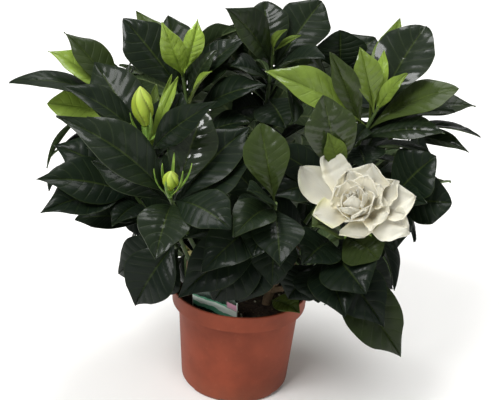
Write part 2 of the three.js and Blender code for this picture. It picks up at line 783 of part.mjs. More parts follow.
function petal(row) {
  const tip = overFlower(row.px, row.py, row.rise);
  const out = tip.clone().sub(flowerHeart);
  out.addScaledVector(FLOWER_FACE, -out.dot(FLOWER_FACE)).normalize();
  const cup = PETAL_CUP * (1 + row.rise / 12);
  const seat = along(flowerHeart, FLOWER_FACE, Math.max(0, PETAL_CLIMB * (row.rise - 14)));
  return bladeOf(along(seat, out, PETAL_ROOT), tip, along(FLOWER_FACE, out, -cup), {
    width: row.width,
    arch: -row.arch,
    root: 2.5,
    thickness: PETAL_THICKNESS,
    outline: PETAL_OUTLINE,
    stations: row.rise > INNER_RISE ? INNER_PETAL_STATIONS : PETAL_STATIONS,
  });
}

function flower() {
  const core = new THREE.SphereGeometry(FLOWER_CORE_RADIUS, 7, 5);
  core.scale(1, 1.7, 1).rotateX(Math.PI / 2).translate(0, 0, 0.7 * FLOWER_CORE_RADIUS);
  const heart = solid(turned(core, flowerHeart, FLOWER_FACE));
  return joined([heart, ...rows(PETALS).map((row) => blade(petal(row)))]);
}

const flowerShape = flower();
nodes.push(["flower_petals", flowerShape, PETAL]);
keep("flower_petals", flowerShape);

// Single pieces low on the plant

function basalLeaf() {
  const foot = trunkCurve(CUTTINGS.right).getPointAt(BASAL_LEAF.at);
  const tip = seen(BASAL_LEAF.px, BASAL_LEAF.py, BASAL_LEAF.depth);
  const out = tip.clone().sub(foot).setZ(0).normalize();
  return blade(bladeOf(along(foot, out, TRUNK_RADIUS + 4 * GAP), tip, UP, {
    width: BASAL_LEAF.width,
    arch: 0.14,
    root: PETIOLE_RADIUS,
    thickness: LEAF_THICKNESS,
    outline: LEAF_OUTLINE,
    stations: LEAF_STATIONS,
  }));
}

function twigCurve() {
  const [x, y] = TWIG.foot;
  const points = [[x, y, SOIL_TOP - HOLE_DEPTH], [x, y, SOIL_TOP], TWIG.bend, TWIG.top];
  return new THREE.CatmullRomCurve3(points.map((point) => new THREE.Vector3(...point)));
}

function yellowLeaf() {
  const twig = twigCurve();
  const foot = along(twig.getPointAt(1), twig.getTangentAt(1), GAP + 0.3);
  const tip = seen(YELLOW_LEAF.px, YELLOW_LEAF.py, YELLOW_LEAF.depth);
  return blade(bladeOf(foot, tip, new THREE.Vector3(0, -1, 0), {
    width: YELLOW_LEAF.width,
    arch: 0.1,
    root: PETIOLE_RADIUS,
    thickness: LEAF_THICKNESS,
    outline: LEAF_OUTLINE,
    stations: LEAF_STATIONS,
  }));
}

const lowPieces = [
  ["basal_leaf", basalLeaf(), DARK_LEAF],
  ["cut_twig", stem(twigCurve(), BRANCH_RADIUS, 4), WOOD],
  ["yellowed_leaf", yellowLeaf(), YELLOWED],
  ["plant_label", label(), LABEL],
];
for (const [name, shape, look] of lowPieces) {
  nodes.push([name, shape, look]);
  keep(name, shape);
}

// Leaves

function leafOf(row, base, tip, face, draw) {
  return {
    base,
    tip,
    face,
    roll: row.roll,
    width: row.width,
    arch: row.arch,
    fold: draw(0.12, 0.34),
    wave: draw(0.4, 1.4),
    phase: draw(0, 6.28),
    root: PETIOLE_RADIUS,
    rootThickness: 1.5,
    thickness: LEAF_THICKNESS,
    outline: LEAF_OUTLINE,
    stations: row.stations,
  };
}

// A leaf's root: inside the shoot, on the side that the leaf leaves it
function rootOf(curve, at, tip) {
  const middle = curve.getPointAt(at);
  const way = curve.getTangentAt(at);
  const out = tip.clone().sub(middle);
  out.addScaledVector(way, -out.dot(way)).normalize();
  return along(middle, out, ROOT_OFFSET);
}

// Depth changes tried in turn until a leaf is clear of the ones before it; the first
// keeps the reading, and every one keeps the tip on its pixel
const DEPTH_TRIES = [0, 6, -6, 12, -12, 18, -18, 26, -26, 34, -34];
const ROLL_TRIES = [0, 14, -14, 28, -28];

function placeSeenLeaf(row, draw) {
  const shoot = shoots[row.shoot];
  const lift = THREE.MathUtils.degToRad(row.face);
  const face = new THREE.Vector3(0, -Math.cos(lift), Math.sin(lift));
  const stations = row.width < SMALL_LEAF ? PLAIN_STATIONS : LEAF_STATIONS;
  const first = leafOf({ ...row, stations }, null, null, face, draw);
  for (const turn of ROLL_TRIES) {
    for (const change of DEPTH_TRIES) {
      const tip = seen(row.tip_px, row.tip_py, row.depth + change);
      const base = rootOf(shoot.curve, row.at, tip);
      const leaf = { ...first, base, tip, roll: row.roll + turn };
      if (fits(leaf, row.shoot)) {
        return leaf;
      }
    }
  }
  return null;
}

function inCrown(point) {
  const across = (point.x - CROWN.x) / CROWN.across;
  const deep = (point.y - CROWN.y) / CROWN.deep;
  const high = (point.z - CROWN.z) / CROWN.high;
  return across ** 2 + deep ** 2 + high ** 2 < 1;
}

const outline = rows(OUTLINE);

function inOutline(point) {
  const { px, py } = pixelOf(point);
  const crossed = outline.filter((a, i) => {
    const b = outline[(i + 1) % outline.length];
    return (a.py > py) !== (b.py > py) && px < a.px + ((b.px - a.px) * (py - a.py)) / (b.py - a.py);
  });
  return crossed.length % 2 === 1;
}

function isHidden(leaf) {
  const { length, forward, across } = frameOf(leaf);
  const belly = along(leaf.base, forward, 0.54 * length);
  const edges = [-1, 1].map((side) => along(belly, across, (side * leaf.width) / 2));
  return inCrown(leaf.tip) && [leaf.tip, ...edges].every(inOutline);
}

function placeWhorlLeaf(row, whorl, place, draw) {
  const shoot = shoots[row.shoot];
  const share = row.whorls > 1 ? whorl / (row.whorls - 1) : 0;
  for (let attempt = 0; attempt < WHORL_TRIES; attempt++) {
    const rise = row.low + (row.high - row.low) * share + draw(-0.03, 0.03);
    const at = Math.min(rise, 0.98);
    const part = (place + (whorl % 2 ? 0.75 : 0.25)) / row.each;
    const turn = THREE.MathUtils.degToRad(row.from + (row.to - row.from) * part + draw(-25, 25));
    const pitch = THREE.MathUtils.degToRad(
      row.pitch_low + (row.pitch_high - row.pitch_low) * share + draw(-14, 14));
    const length = row.length * draw(0.72, 1.06);
    const width = length * draw(0.36, 0.44);
    const roll = draw(-18, 18);
    const way = new THREE.Vector3(
      Math.cos(turn) * Math.cos(pitch),
      Math.sin(turn) * Math.cos(pitch),
      Math.sin(pitch),
    );
    const tip = along(shoot.curve.getPointAt(at), way, length);
    const base = rootOf(shoot.curve, at, tip);
    const face = new THREE.Vector3(tip.x, tip.y, 0).setLength(0.75).setZ(0.66);
    const shape = { roll, width, arch: draw(0.08, 0.16), stations: PLAIN_STATIONS };
    const leaf = leafOf(shape, base, tip, face, draw);
    if (isHidden(leaf) && fits(leaf, row.shoot)) {
      return leaf;
    }
  }
  return null;
}

function addLeaf(node, leaf) {
  if (leaf) {
    const shape = blade(leaf);
    shoots[node].solids.push(shape);
    keep(node, shape);
  }
}

const seenDraw = lottery(131);
for (const row of rows(LEAVES)) {
  addLeaf(row.shoot, placeSeenLeaf(row, seenDraw));
}
const whorlDraw = lottery(WHORL_SEED);
for (const row of rows(WHORLS)) {
  for (let whorl = 0; whorl < row.whorls; whorl++) {
    for (let place = 0; place < row.each; place++) {
      addLeaf(row.shoot, placeWhorlLeaf(row, whorl, place, whorlDraw));
    }
  }
}

// Nodes

function plainHole([x, y], radius) {
  const depth = HOLE_DEPTH + 10;
  const hole = new THREE.CylinderGeometry(radius + HOLE_PLAY, radius + HOLE_PLAY, depth, 10);
  hole.rotateX(Math.PI / 2);
  hole.translate(x, y, SOIL_TOP - HOLE_DEPTH - GAP + depth / 2);
  return solid(hole);
}

const holes = Object.values(CUTTINGS).map(({ foot }) => plainHole(foot, TRUNK_RADIUS));
holes.push(plainHole(TWIG.foot, BRANCH_RADIUS), label(GAP));
const soilShape = holes.reduce((bed, hole) => bed.subtract(hole), soil());

addNode("pot", potShape, PLASTIC);
addNode("soil", soilShape, EARTH);
for (const [name, solids] of Object.entries(wood)) {
  addNode(`woody_stem_${name}`, joined(solids), WOOD);
}
for (const [name, { solids, look }] of Object.entries(shoots)) {
  addNode(`shoot_${name}`, joined(solids), look);
}
for (const [name, shape, look] of nodes) {
  addNode(name, shape, look);
}

export default group;
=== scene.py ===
"""The looks of a potted gardenia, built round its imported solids: leaves with veins,
ruffled petals, ribbed buds, bark, potting soil, the plastic pot and its label."""

import math
from copy import copy

import bmesh
import bpy
from mathutils import Matrix, Vector, bvhtree, kdtree
from mathutils.noise import noise as field


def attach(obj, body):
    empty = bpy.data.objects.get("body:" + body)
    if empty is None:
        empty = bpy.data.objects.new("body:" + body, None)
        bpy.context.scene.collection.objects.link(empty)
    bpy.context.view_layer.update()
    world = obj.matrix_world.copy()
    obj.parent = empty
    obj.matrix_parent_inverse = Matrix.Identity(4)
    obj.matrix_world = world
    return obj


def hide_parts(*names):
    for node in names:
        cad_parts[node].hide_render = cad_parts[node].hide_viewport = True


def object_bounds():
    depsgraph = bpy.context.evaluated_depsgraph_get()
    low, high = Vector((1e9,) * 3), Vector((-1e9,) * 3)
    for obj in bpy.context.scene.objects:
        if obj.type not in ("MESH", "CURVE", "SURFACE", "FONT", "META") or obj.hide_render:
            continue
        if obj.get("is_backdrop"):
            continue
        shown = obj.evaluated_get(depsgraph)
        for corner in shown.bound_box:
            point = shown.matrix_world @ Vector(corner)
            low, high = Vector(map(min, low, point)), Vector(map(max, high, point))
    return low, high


bl_info = {
    "name": "Potted Gardenia",
    "version": (1, 0, 0),
    "blender": (4, 5, 0),
    "location": "3D View > Sidebar > Gardenia",
    "description": "Builds a flowering gardenia in a nursery pot",
    "category": "Object",
}

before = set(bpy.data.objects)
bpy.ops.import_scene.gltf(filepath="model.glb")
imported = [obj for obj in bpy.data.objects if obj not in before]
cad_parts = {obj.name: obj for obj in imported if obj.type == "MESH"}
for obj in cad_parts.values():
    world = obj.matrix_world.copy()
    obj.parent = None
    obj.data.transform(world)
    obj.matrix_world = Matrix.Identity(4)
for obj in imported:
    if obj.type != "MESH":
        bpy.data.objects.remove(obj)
cad_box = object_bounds()

# Sizes that the solids share with this file, in millimetres
GAP = 0.3
POT_HEIGHT = 100.0
RIM_RADIUS = 65.0
BAND_FOOT = 83.0
BODY_RADIUS = 57.4
BAND_STEP = 6.0
BASE_RADIUS = 47.0
POT_CORNER_RADIUS = 51.6
POT_WALL = 1.8
NOTCH_COUNT = 6
NOTCH_WIDTH = 24.0
NOTCH_HEIGHT = 3.0
NOTCH_REACH = 46.6
SOIL_TOP = 91.0
SOIL_RADIUS = 61.2
SOIL_FOOT_RADIUS = 55.2
LABEL_WIDTH = 46.0
LABEL_HEIGHT = 62.0
LABEL_THICKNESS = 0.8
HOLE_DEPTH = 26.0
TRUNK_RADIUS = 4.2
BRANCH_RADIUS = 2.6
SHOOT_RADIUS = 1.9
YOUNG_RADIUS = 1.4
PETIOLE_RADIUS = 0.6
LEAF_THICKNESS = 0.8
ROOT_OFFSET = 1.2
PETAL_ROOT = 3.5
PETAL_CUP = 0.42
PETAL_CLIMB = 0.8
LOBE_TURN = 0.35
LOBE_ROOT = 1.2
LOBE_THICKNESS = 0.7
FLOWER_CORE_RADIUS = 6.0
FLOWER_FACE = Vector((-0.18, -0.42, 0.89)).normalized()
CUP_GAP = 0.9
TWIG_FOOT = (-46, -12)
TWIG_BENDS = ((-47, -15, 108), (-47, -31, 138))
LABEL_PLACE = (0, -48.5, 84)
LABEL_TURN = math.radians(-25)
LABEL_LEAN = math.radians(96)
LABEL_CORNER = 3.0

# The two lone leaves, by the pixel and depth of their tips
LOW_LEAF_AT = 0.43
LOW_LEAF_TIP = (300, 313, -50)
YELLOWED_TIP = (188, 239, -36)

# The photograph's view: the eye, its axis below level, its lean, and the pixels of one
# unit at unit distance
EYE = Vector((4.0, -883.0, 569.5))
EYE_PITCH = math.radians(23.4)
EYE_LEAN = math.radians(4.0)
EYE_SCALE = 1051.0
PHOTO_SIZE = (500, 400)
SENSOR = 36.0

UP = Vector((0.0, 0.0, 1.0))
RIGHT = Vector((1.0, 0.0, 0.0))

# Seeds of the draws, and the changes of depth and roll by which the solids found room
SEEN_SEED = 131
WHORL_SEED = 4711
FURLED_SEED = 57
CRUMB_SEED = 311
FLECK_SEED = 733
WHORL_TRIES = 40
DEPTH_TRIES = (0, 6, -6, 12, -12, 18, -18, 26, -26, 34, -34)
ROLL_TRIES = (0, 14, -14, 28, -28)
HIDDEN_TONE = 0.12

# A leaf's own form: its fold, its wave and its arch, and how wide it is for its length
ANY_PHASE = (0, 6.28)
FOLDS = (0.12, 0.34)
WAVES = (0.4, 1.4)
ARCHES = (0.08, 0.16)
SLIMNESS = (0.36, 0.44)
LEAF_FRILL = 0.02
FRILL_WAVES = 19
DRIP_TIP = 0.76
DRIP_NARROWING = 0.13
VEIN_PAIRS = 9
VEIN_SWEEP = 1.4

# How far a leaf behind strays from its whorl's rule, in shares and degrees, and how far out
# and up it faces
WHORL_SPREAD = 0.03
WHORL_TURN = 25
WHORL_PITCH = 14
WHORL_ROLL = 18
WHORL_LENGTHS = (0.72, 1.06)
WHORL_LAST = 0.98
WHORL_FACE = (0.75, 0.66)

# The room that the leaves behind keep to
CROWN_MIDDLE = (4, 6, 196)
CROWN_REACH = (196, 188, 142)
TWIG_WINDOW = (174, 234, 198, 296)
TWIG_DEPTH = 10

# The leaves that close the crown's holes: where holes are looked for, in pixels, depths and
# shares of the crown, and from which eyes
FILLERS = 260
FILLER_TRIES = 40
FILLER_SEED = 9091
HOLE_STEPS = (4, 2, 2)
HOLE_LEFT, HOLE_RIGHT = 24, 482
HOLE_TOP, HOLE_FOOT = 2, 304
HOLE_DEPTHS = (-80, 110)
SIDE_SPOTS = 2400
SIDE_SHARE = 0.85
SIGHT = 2000
EYES = (
    Vector((-950, 40, 480)),
    EYE + Vector((60, 0, -120)),
    Vector((950, 40, 480)),
    Vector((0, 950, 480)),
)

# What such a leaf may be like: where it grows on a shoot, how far off its hole, which share
# of it lies in the hole, and its length, slope, width, roll, facing and tone
GROWTH_PLACES = [0.12 + 0.05 * i for i in range(18)]
FILLER_REACH = (14, 62)
FILLER_SHARES = (0.4, 0.66)
FILLER_LENGTHS = (34, 104)
FILLER_SLOPES = (-0.75, 0.85)
FILLER_SLIMNESS = (0.36, 0.46)
FILLER_ROLL = 30
FILLER_FACE_OUT = 0.6
FILLER_FACE_UP = (0.3, 1)
FILLER_TONES = (0.5, 1.2)
LOWEST_FILLER = 96

# Places on a leaf, across and along it, and the least cover that counts, in millimetres
WIDEST = 0.54
COVER_SPOTS = ((0, 0.2), (0, 0.4), (-0.9, 0.5), (0.9, 0.5), (-0.7, 0.7), (0.7, 0.7), (0, 0.97))
COVER_GAP = 3
COVER_SIGHT = 400
PATCH_STEPS = 6
PATCH_TIP = 0.05
OUTER_START = 0.12

# Each light's place and size in metres, and the top light's power against the fill light's
LIGHTS = {
    "window_light": ((-1.65, -2.1, 3.15), 1.65),
    "fill_light": ((2.85, -1.35, 1.95), 1.8),
    "top_light": ((0.3, 1.35, 3.45), 1.95),
}
TOP_SHARE = 11
LIGHT_AIM = Vector((0, 0, 0.2))
FLOOR_REACH = 6

CUTTINGS = {
    "left": {"foot": (-24, -4), "top": (-30, -8, 138)},
    "right": {"foot": (26, -17), "top": (38, -22, 136)},
    "back": {"foot": (4, 28), "top": (6, 38, 146)},
}

# The share of its trunk at which each shoot forks off, and its places in millimetres: where
# its wood ends, its bend and its head
SHOOTS = """
name           cutting fork wood_x wood_y wood_z bend_x bend_y bend_z head_x head_y head_z
top_left       left    0.95    -33      3    170    -50      9    232    -62     15    290
left_bud       left     0.8    -44    -22    158    -68    -42    210    -84    -62    257
front_left     left    0.65    -36    -42    146    -50    -78    192    -60   -110    232
low_left       left     0.5    -37    -32    120    -46    -54    150    -54    -80    184
far_left       left    0.88    -54      2    158    -90      8    216   -118     15    270
mid_left       left    0.72    -52    -16    136    -80    -26    172   -102    -35    206
right          right   0.97     54    -14    172     84    -16    228    104    -20    280
bloom          right    0.8     50    -46    150     73    -77    186     92    -99    212
centre_right   right    0.9     46    -28    158     68    -42    200     84    -54    240
front_centre   right   0.88     25    -46    150     25    -70    190     25    -90    225
low_right      right   0.55     46    -38    122     60    -62    154     72    -85    185
mid_right      right    0.7     62    -22    138    100    -26    176    133    -30    212
far_right      right   0.92     64     12    154    108     30    210    143     45    262
top_centre     back    0.97      9     32    190     12     31    250     15     30    312
top_right      back     0.9     32     42    176     58     52    240     80     60    300
back_left      back    0.85    -30     48    158    -64     74    212    -95     95    262
back_centre    back    0.92     -2     66    166     -6     98    226     -8    125    282
back_right     back    0.78     34     62    152     64     96    206     90    125    252
low_back_left  back    0.62    -46     46    138    -90     62    168   -130     78    196
low_back       back    0.55     10     70    132     16    112    164     20    148    196
low_back_right back     0.7     52     54    136    104     76    166    150     95    192
"""

# The short pale shoots that stand on others
YOUNG = """
name             on         length
young_top_left   top_left       12
young_right      right          12
young_top_centre top_centre     10
"""

# Leaves that the photograph shows, under the name of their shoot: the share of the shoot
# at which each grows, the pixel and depth of its tip, its width, arch, facing and roll, and
# how pale, wet and pointed it is. The draws follow this order, so a new one goes last
LEAVES = """
  at  px  py depth width arch face roll tone shine point
top_left
 0.9 123  18    24    44 0.08   40    0 0.12   0.3  -0.6
young_top_left
 0.5 162  22   -16    22  0.1   45  -20 0.95   0.8   0.2
0.72 198  19    22    20  0.1   45   30    1   0.9   0.5
0.92 154  51    -8     7 0.06   60    0 0.35   0.1     0
young_right
0.45 360  47   -14    26 0.08   45    0 0.66   0.6     0
 0.7 407  73   -34    17 0.08   60    0 0.72   0.2     0
 0.9 384  50     4    12 0.06   60    0 0.86   0.1     0
young_top_centre
0.55 287  29    16    12 0.16   60    0  0.6   0.1     0
0.85 301  35    24     8 0.06   60    0  0.6   0.1     0
top_left
0.91 168  15    52    40 0.08   50    0  0.2   0.1     0
0.93 136  11    42    34 0.08   60    0 0.45   0.1   0.5
0.87 217  50    25    30  0.1   80    0  0.2   0.4     0
 0.9 248  38    45    36  0.1   85    0 0.12   0.4     0
 0.8 211  71   -22    20 0.06   60    0 0.82   0.3     0
0.84 230  54    30    38 0.08   85    0 0.14   0.4     0
0.74 266  85     0    40  0.1   70    0  0.1   0.1     0
0.55 250 122   -10    36  0.1   70    0  0.1   0.1     0
0.62 150  92    20    42  0.1   50    0  0.1   0.1     0
left_bud
0.95  94  62   -46    46  0.1   40    0 0.14   0.2     0
0.91  62  86   -80    42  0.1   75    0 0.12   0.1     0
0.94 217 101  -112    27 0.12   32    0  0.1   0.1     0
0.83 182  92   -30    40 0.08   40    0  0.1   0.1     0
0.98 178  77   -30    11 0.06   50    0  0.8   0.1     0
0.96 172  74   -20     6 0.05   50    0  0.7   0.1     0
0.95 156  84   -24    12 0.05   60    0  0.5   0.1     0
0.94 166  95   -34    11  0.1   60    0  0.5   0.1     0
front_left
0.95  56 116  -120    48 0.12   60    0 0.14   0.3   0.7
0.88  91 161   -98    40  0.1   60    0 0.12   0.1     0
0.93 155 259  -172    42 0.16   30    0 0.16  0.25  -0.4
0.91 204 108   -78    42 0.08   30    0  0.2     1    -1
0.86 250 127   -58    44 0.12   55    0  0.1   0.1   0.4
0.96 231 229  -142    42 0.14   60    0  0.1   0.1  -0.6
mid_left
0.94  40 213   -80    48 0.12   55    0  0.1   0.1   0.6
0.88  36 179   -72    46 0.12   50    0  0.1   0.1   0.6
0.98  54 145   -30    44 0.12   60    0  0.1   0.1     0
0.78 112 226   -90    34  0.1   60    0  0.1   0.1   0.6
 0.6 100 200   -40    42  0.1   60    0  0.1   0.1     0
far_left
0.92   9  82   -10    38 0.12   80    0 0.14   0.1     0
0.96  48  51    18    38  0.1   70    0  0.8   0.3   0.5
0.98  64  32    40    36 0.08   70    0  0.3   0.1   0.5
 0.9  86  58    60    34 0.08   60    0  0.1   0.1     0
0.84  47 103     0    38  0.1   45    0 0.78   0.1    -1
low_left
0.97 135 306   -84    50 0.16   40    0  0.1   0.1     1
0.88 118 274   -60    42 0.14   40    0  0.1   0.1   0.6
0.84 156 290   -66    42 0.14   40    0  0.1   0.1     0
front_centre
0.78 178 298  -120    46 0.12   35    0  0.1   0.1   0.5
0.72 236 303  -112    48 0.14   35    0  0.1   0.1     0
 0.9 252 258  -136    42 0.14   50    0  0.1   0.1     0
0.98 260 123   -72    40  0.1   30    0 0.34   0.4    -1
0.95 247 190  -120    28 0.08   60    0  0.1   0.1     0
0.92 233 237  -148    36 0.14   60    0 0.18   0.1     0
0.89 280 266  -146    42 0.16   40    0  0.1   0.1     0
0.84 201 273  -142    42 0.14   50    0  0.1   0.1     0
 0.8 272 286  -122    40 0.12   40    0  0.1   0.1     0
0.87 233 209  -128    28  0.1   60    0  0.1   0.1     0
0.74 256 292   -96    44 0.12   40    0  0.1   0.1     0
centre_right
 0.9 323  95   -48    44 0.08   30    0  0.3     1  -0.8
0.98 328 133   -62    20 0.03   30    0 0.56   0.1     0
0.84 269 196  -112    34  0.1   60    0  0.1   0.1     0
bloom
 0.8 379 259  -152    48 0.14   45    0 0.34   0.1  -1.2
0.62 302 264  -140    44 0.14   45    0  0.1   0.1     0
0.74 312 226  -146    34  0.1   60    0 0.35   0.1     0
low_right
0.97 366 294  -146    50 0.14   40    0  0.1   0.1  -0.5
0.91 384 327  -122    48 0.14   40    0  0.1   0.1   0.5
0.85 401 357  -100    50 0.16   35    0  0.3   0.1   0.6
0.79 345 317  -132    44 0.14   40    0  0.1   0.1     0
0.71 318 303  -112    44 0.12   40    0  0.1   0.1     0
0.66 288 299  -100    42 0.12   40    0  0.1   0.1     0
0.94 393 289  -100    36  0.1   60    0  0.1   0.1     0
mid_right
0.96 436 156   -50    50 0.12   50    0  0.1   0.1  -0.8
0.98 451 181   -34    26 0.06   98    0  0.3   0.1     0
0.92 452 203   -66    46 0.14   50    0  0.1   0.1  -1.4
0.88 427 203   -92    28  0.1   40    0  0.1   0.1     0
0.83 394 252  -100    40 0.12   50    0 0.12   0.1     0
right
0.94 426  26     0    52  0.1   35    0 0.16   0.5  -1.4
0.92 400  18    40    28 0.08   50    0 0.64   0.1     0
 0.9 459  88   -12    40  0.1   70    0  0.4   0.1    -1
0.93 265  71   -48    40 0.08   55    0  0.7   0.5     0
0.87 330  52   -24    24 0.08   40    0 0.35   0.6  -0.8
0.82 445 133   -42    34  0.1   70    0 0.16   0.4     0
0.77 366 168   -50    40  0.1   50    0  0.1   0.1     0
far_right
0.97 476 106    48    32  0.1   75    0  0.2   0.1     0
0.98 458  97    80    40  0.1   60    0  0.2   0.1     0
 0.9 481 137    36    30 0.08   95    0  0.1   0.4     0
0.85 469 152    14    36 0.08   85    0  0.2   0.4     0
0.93 455 112    14    38  0.1   80    0 0.14   0.1     0
top_centre
0.94 226   8    14    42  0.1   50    0 0.22   0.4     0
0.92 264   1    44    42 0.08   40    0 0.14   0.3  -1.4
 0.9 322   1    34    48 0.08   40    0 0.14   0.1  -1.1
0.86 325  58    -4    38 0.12   75    0  0.1   0.1  -0.5
0.83 230  66    14    38 0.12   75    0  0.1   0.1     0
 0.7 286 128   -10    46  0.1   50    0  0.1   0.1     0
0.64 232 112     0    44  0.1   60    0  0.1   0.1     0
top_right
0.97 340  30    52    50  0.1   50    0 0.12   0.1    -1
0.94 376  38    92    44  0.1   60    0 0.12   0.1  -0.6
 0.8 330 104    10    46  0.1   50    0  0.1   0.1     0
mid_right
 0.6 356 276   -70    44 0.12   50    0  0.1   0.1     0
low_left
0.58 175 274   -42    28  0.1   40    0  0.1   0.1  -0.6
front_centre
0.76 214 301  -106    48 0.14   35    0  0.1   0.1  -0.8
"""

# Rules for the leaves behind and between: how many whorls, how many leaves in each, and
# between which bearings, shares of the shoot and pitches they stand, in degrees
WHORLS = """
shoot          whorls each from  to  low high pitch_low pitch_high length
back_left           4    3   40 240 0.42 0.95       -40         45    112
back_centre         4    3  -20 200 0.42 0.95       -36         50    112
back_right          4    3  -60 140 0.42 0.95       -40         45    112
low_back_left       3    4   60 280  0.5 0.95       -50         10    106
low_back            3    4  -10 190  0.5 0.95       -50         10    106
low_back_right      3    4 -100 120  0.5 0.95       -50         10    106
top_right           2    3  -20 160  0.5 0.75       -20         16     98
top_centre          1    3   30 150  0.5  0.5       -10          0     98
far_left            2    3  110 250 0.45 0.72       -40         -6     98
far_right           2    3  -80  70 0.45 0.76       -40         -6     98
mid_left            1    3  120 240  0.5  0.5       -50        -50     88
mid_right           1    3  -70  60  0.5  0.5       -50        -50     88
"""

# The foliage's outline in the photograph, in pixels, which leaves behind stay inside
OUTLINE = """
 px  py
 20  72
 62  40
112  62
124  20
225  12
322   4
378  38
428  28
436  76
478 108
432 146
452 204
420 236
402 262
404 300
398 350
350 316
300 296
262 284
196 292
196 240
182 236
174 290
136 304
120 270
118 238
 42 212
 40 178
 56 120
"""

# Petals: the pixel of each tip, its rise over the flower's plane, the width and arch, the
# roll of its tip in millimetres, how pointed, ruffled and green it is
PETALS = """
 px  py rise width arch curl point ruffle green
329 151   16    27  0.1    6  -0.8    1.1   0.1
300 167   12    34 0.14 -1.5   0.2      1   0.3
315 213    9    34 0.12    1   0.3    0.9     1
364 236   -5    40  0.1  1.5   0.2    1.2  0.35
408 229   -4    36  0.1    2     0    1.6   0.1
413 194    6    42 0.12    3   0.8      2   0.1
395 180   13    30 0.12  2.5   0.8    2.4   0.1
371 164   20    40 0.14    2     1    2.3  0.05
349 171   20    28 0.14  2.5   0.4    2.3  0.05
386 212    8    38 0.14  3.5     0    1.6     0
338 188   16    32 0.16    2     0    1.5  0.05
377 186   18    34 0.18    3   0.3    1.9  0.05
362 216   11    28 0.16  3.5   0.3    1.3     0
340 206   13    28 0.18  2.5   0.2    1.3   0.1
366 179   22    30 0.28  3.5     0      1     0
348 183   22    25  0.3  2.5   0.5      1     0
371 196   21    24  0.3  2.5     0    0.9     0
363 207   19    24 0.26    3     0    0.9     0
351 206   20    22 0.26    2   0.3    0.9  0.05
345 195   21    22  0.3    2   0.3    0.9  0.05
357 188   25    18  0.3  1.5   0.5    0.7     0
362 195   25    17  0.3  1.5   0.5    0.7     0
353 196   25    17  0.3  1.5   0.5    0.7     0
"""

# Buds with their calyces, and the calyx under the flower: the length and radius of the tube
# and of the bud, their lean, the lobes' count, length and width, how far below the tube's end
# they start, and the angles that they spread between
BUDS = """
name      on         tube tube_r bud bud_r lean_x lean_y lean_z lobes lobe wide drop low high
bloom     bloom        11    4.2   0     0  -0.18  -0.42   0.89     5   17  5.2  2.5 1.5  1.9
left_bud  left_bud     18    3.4  36   7.2  -0.12  -0.16   0.98     5   31  3.6   14 0.3  0.7
front_bud front_left    8      3  19   5.2   0.04   -0.3   0.95     6   33  2.6    5 0.3  0.6
"""


# Reading the tables


def cell(word):
    """A word of a table, as a number where it is one"""
    try:
        return float(word)
    except ValueError:
        return word


def rows(text):
    """A table's rows. A line of one word names the shoot of the rows under it"""
    names, *lines = map(str.split, text.strip().splitlines())
    shoot = None
    for words in lines:
        if len(words) == 1:
            shoot = words[0]
        else:
            yield {"shoot": shoot, **dict(zip(names, map(cell, words)))}


def spot_of(row, name):
    """The place or direction that a row gives in three columns"""
    return Vector([row[f"{name}_{axis}"] for axis in "xyz"])


class Lottery:
    """Draws that come out the same each time, as those that placed the solids did"""

    def __init__(self, seed):
        self.state = seed

    def draw(self, low, high):
        self.state = self.state * 16807 % 2147483647
        return low + (high - low) * self.state / 2147483647


def seen(px, py, depth):
    """The place that the photograph shows at a pixel, at a depth behind the pot's middle"""
    right = px - PHOTO_SIZE[0] / 2
    down = py - PHOTO_SIZE[1] / 2
    across = right * math.cos(EYE_LEAN) + down * math.sin(EYE_LEAN)
    rise = right * math.sin(EYE_LEAN) - down * math.cos(EYE_LEAN)
    ray = Vector((
        across,
        EYE_SCALE * math.cos(EYE_PITCH) + rise * math.sin(EYE_PITCH),
        rise * math.cos(EYE_PITCH) - EYE_SCALE * math.sin(EYE_PITCH),
    ))
    return EYE + ray * ((depth - EYE.y) / ray.y)


def square_to(axis, way):
    """A direction, leant over until it is square to an axis"""
    return (way - axis * way.dot(axis)).normalized()


def outwards(place, out, up):
    """A place so far out from the upright axis, towards another, and so far up"""
    flat = Vector((place.x, place.y, 0)).normalized() * out
    return Vector((flat.x, flat.y, up))


def smooth(low, high, value):
    """The share of a rise from low to high, level at both ends"""
    share = min(1.0, max(0.0, (value - low) / (high - low)))
    return share * share * (3 - 2 * share)


# Lines in space, read by the share of their length


class Line:
    DIVISIONS = 200

    def lengths(self):
        if not hasattr(self, "measured"):
            self.measured = [0.0]
            last = self.point(0.0)
            for i in range(1, self.DIVISIONS + 1):
                here = self.point(i / self.DIVISIONS)
                self.measured.append(self.measured[-1] + (here - last).length)
                last = here
        return self.measured

    def share(self, u):
        lengths = self.lengths()
        target = u * lengths[-1]
        i = 0
        while i < self.DIVISIONS - 1 and lengths[i + 1] <= target:
            i += 1
        part = (target - lengths[i]) / (lengths[i + 1] - lengths[i])
        return (i + min(1.0, part)) / self.DIVISIONS

    def at(self, u):
        return self.point(self.share(u))

    def way(self, u):
        t = self.share(u)
        low, high = max(0.0, t - 1e-4), min(1.0, t + 1e-4)
        return (self.point(high) - self.point(low)).normalized()


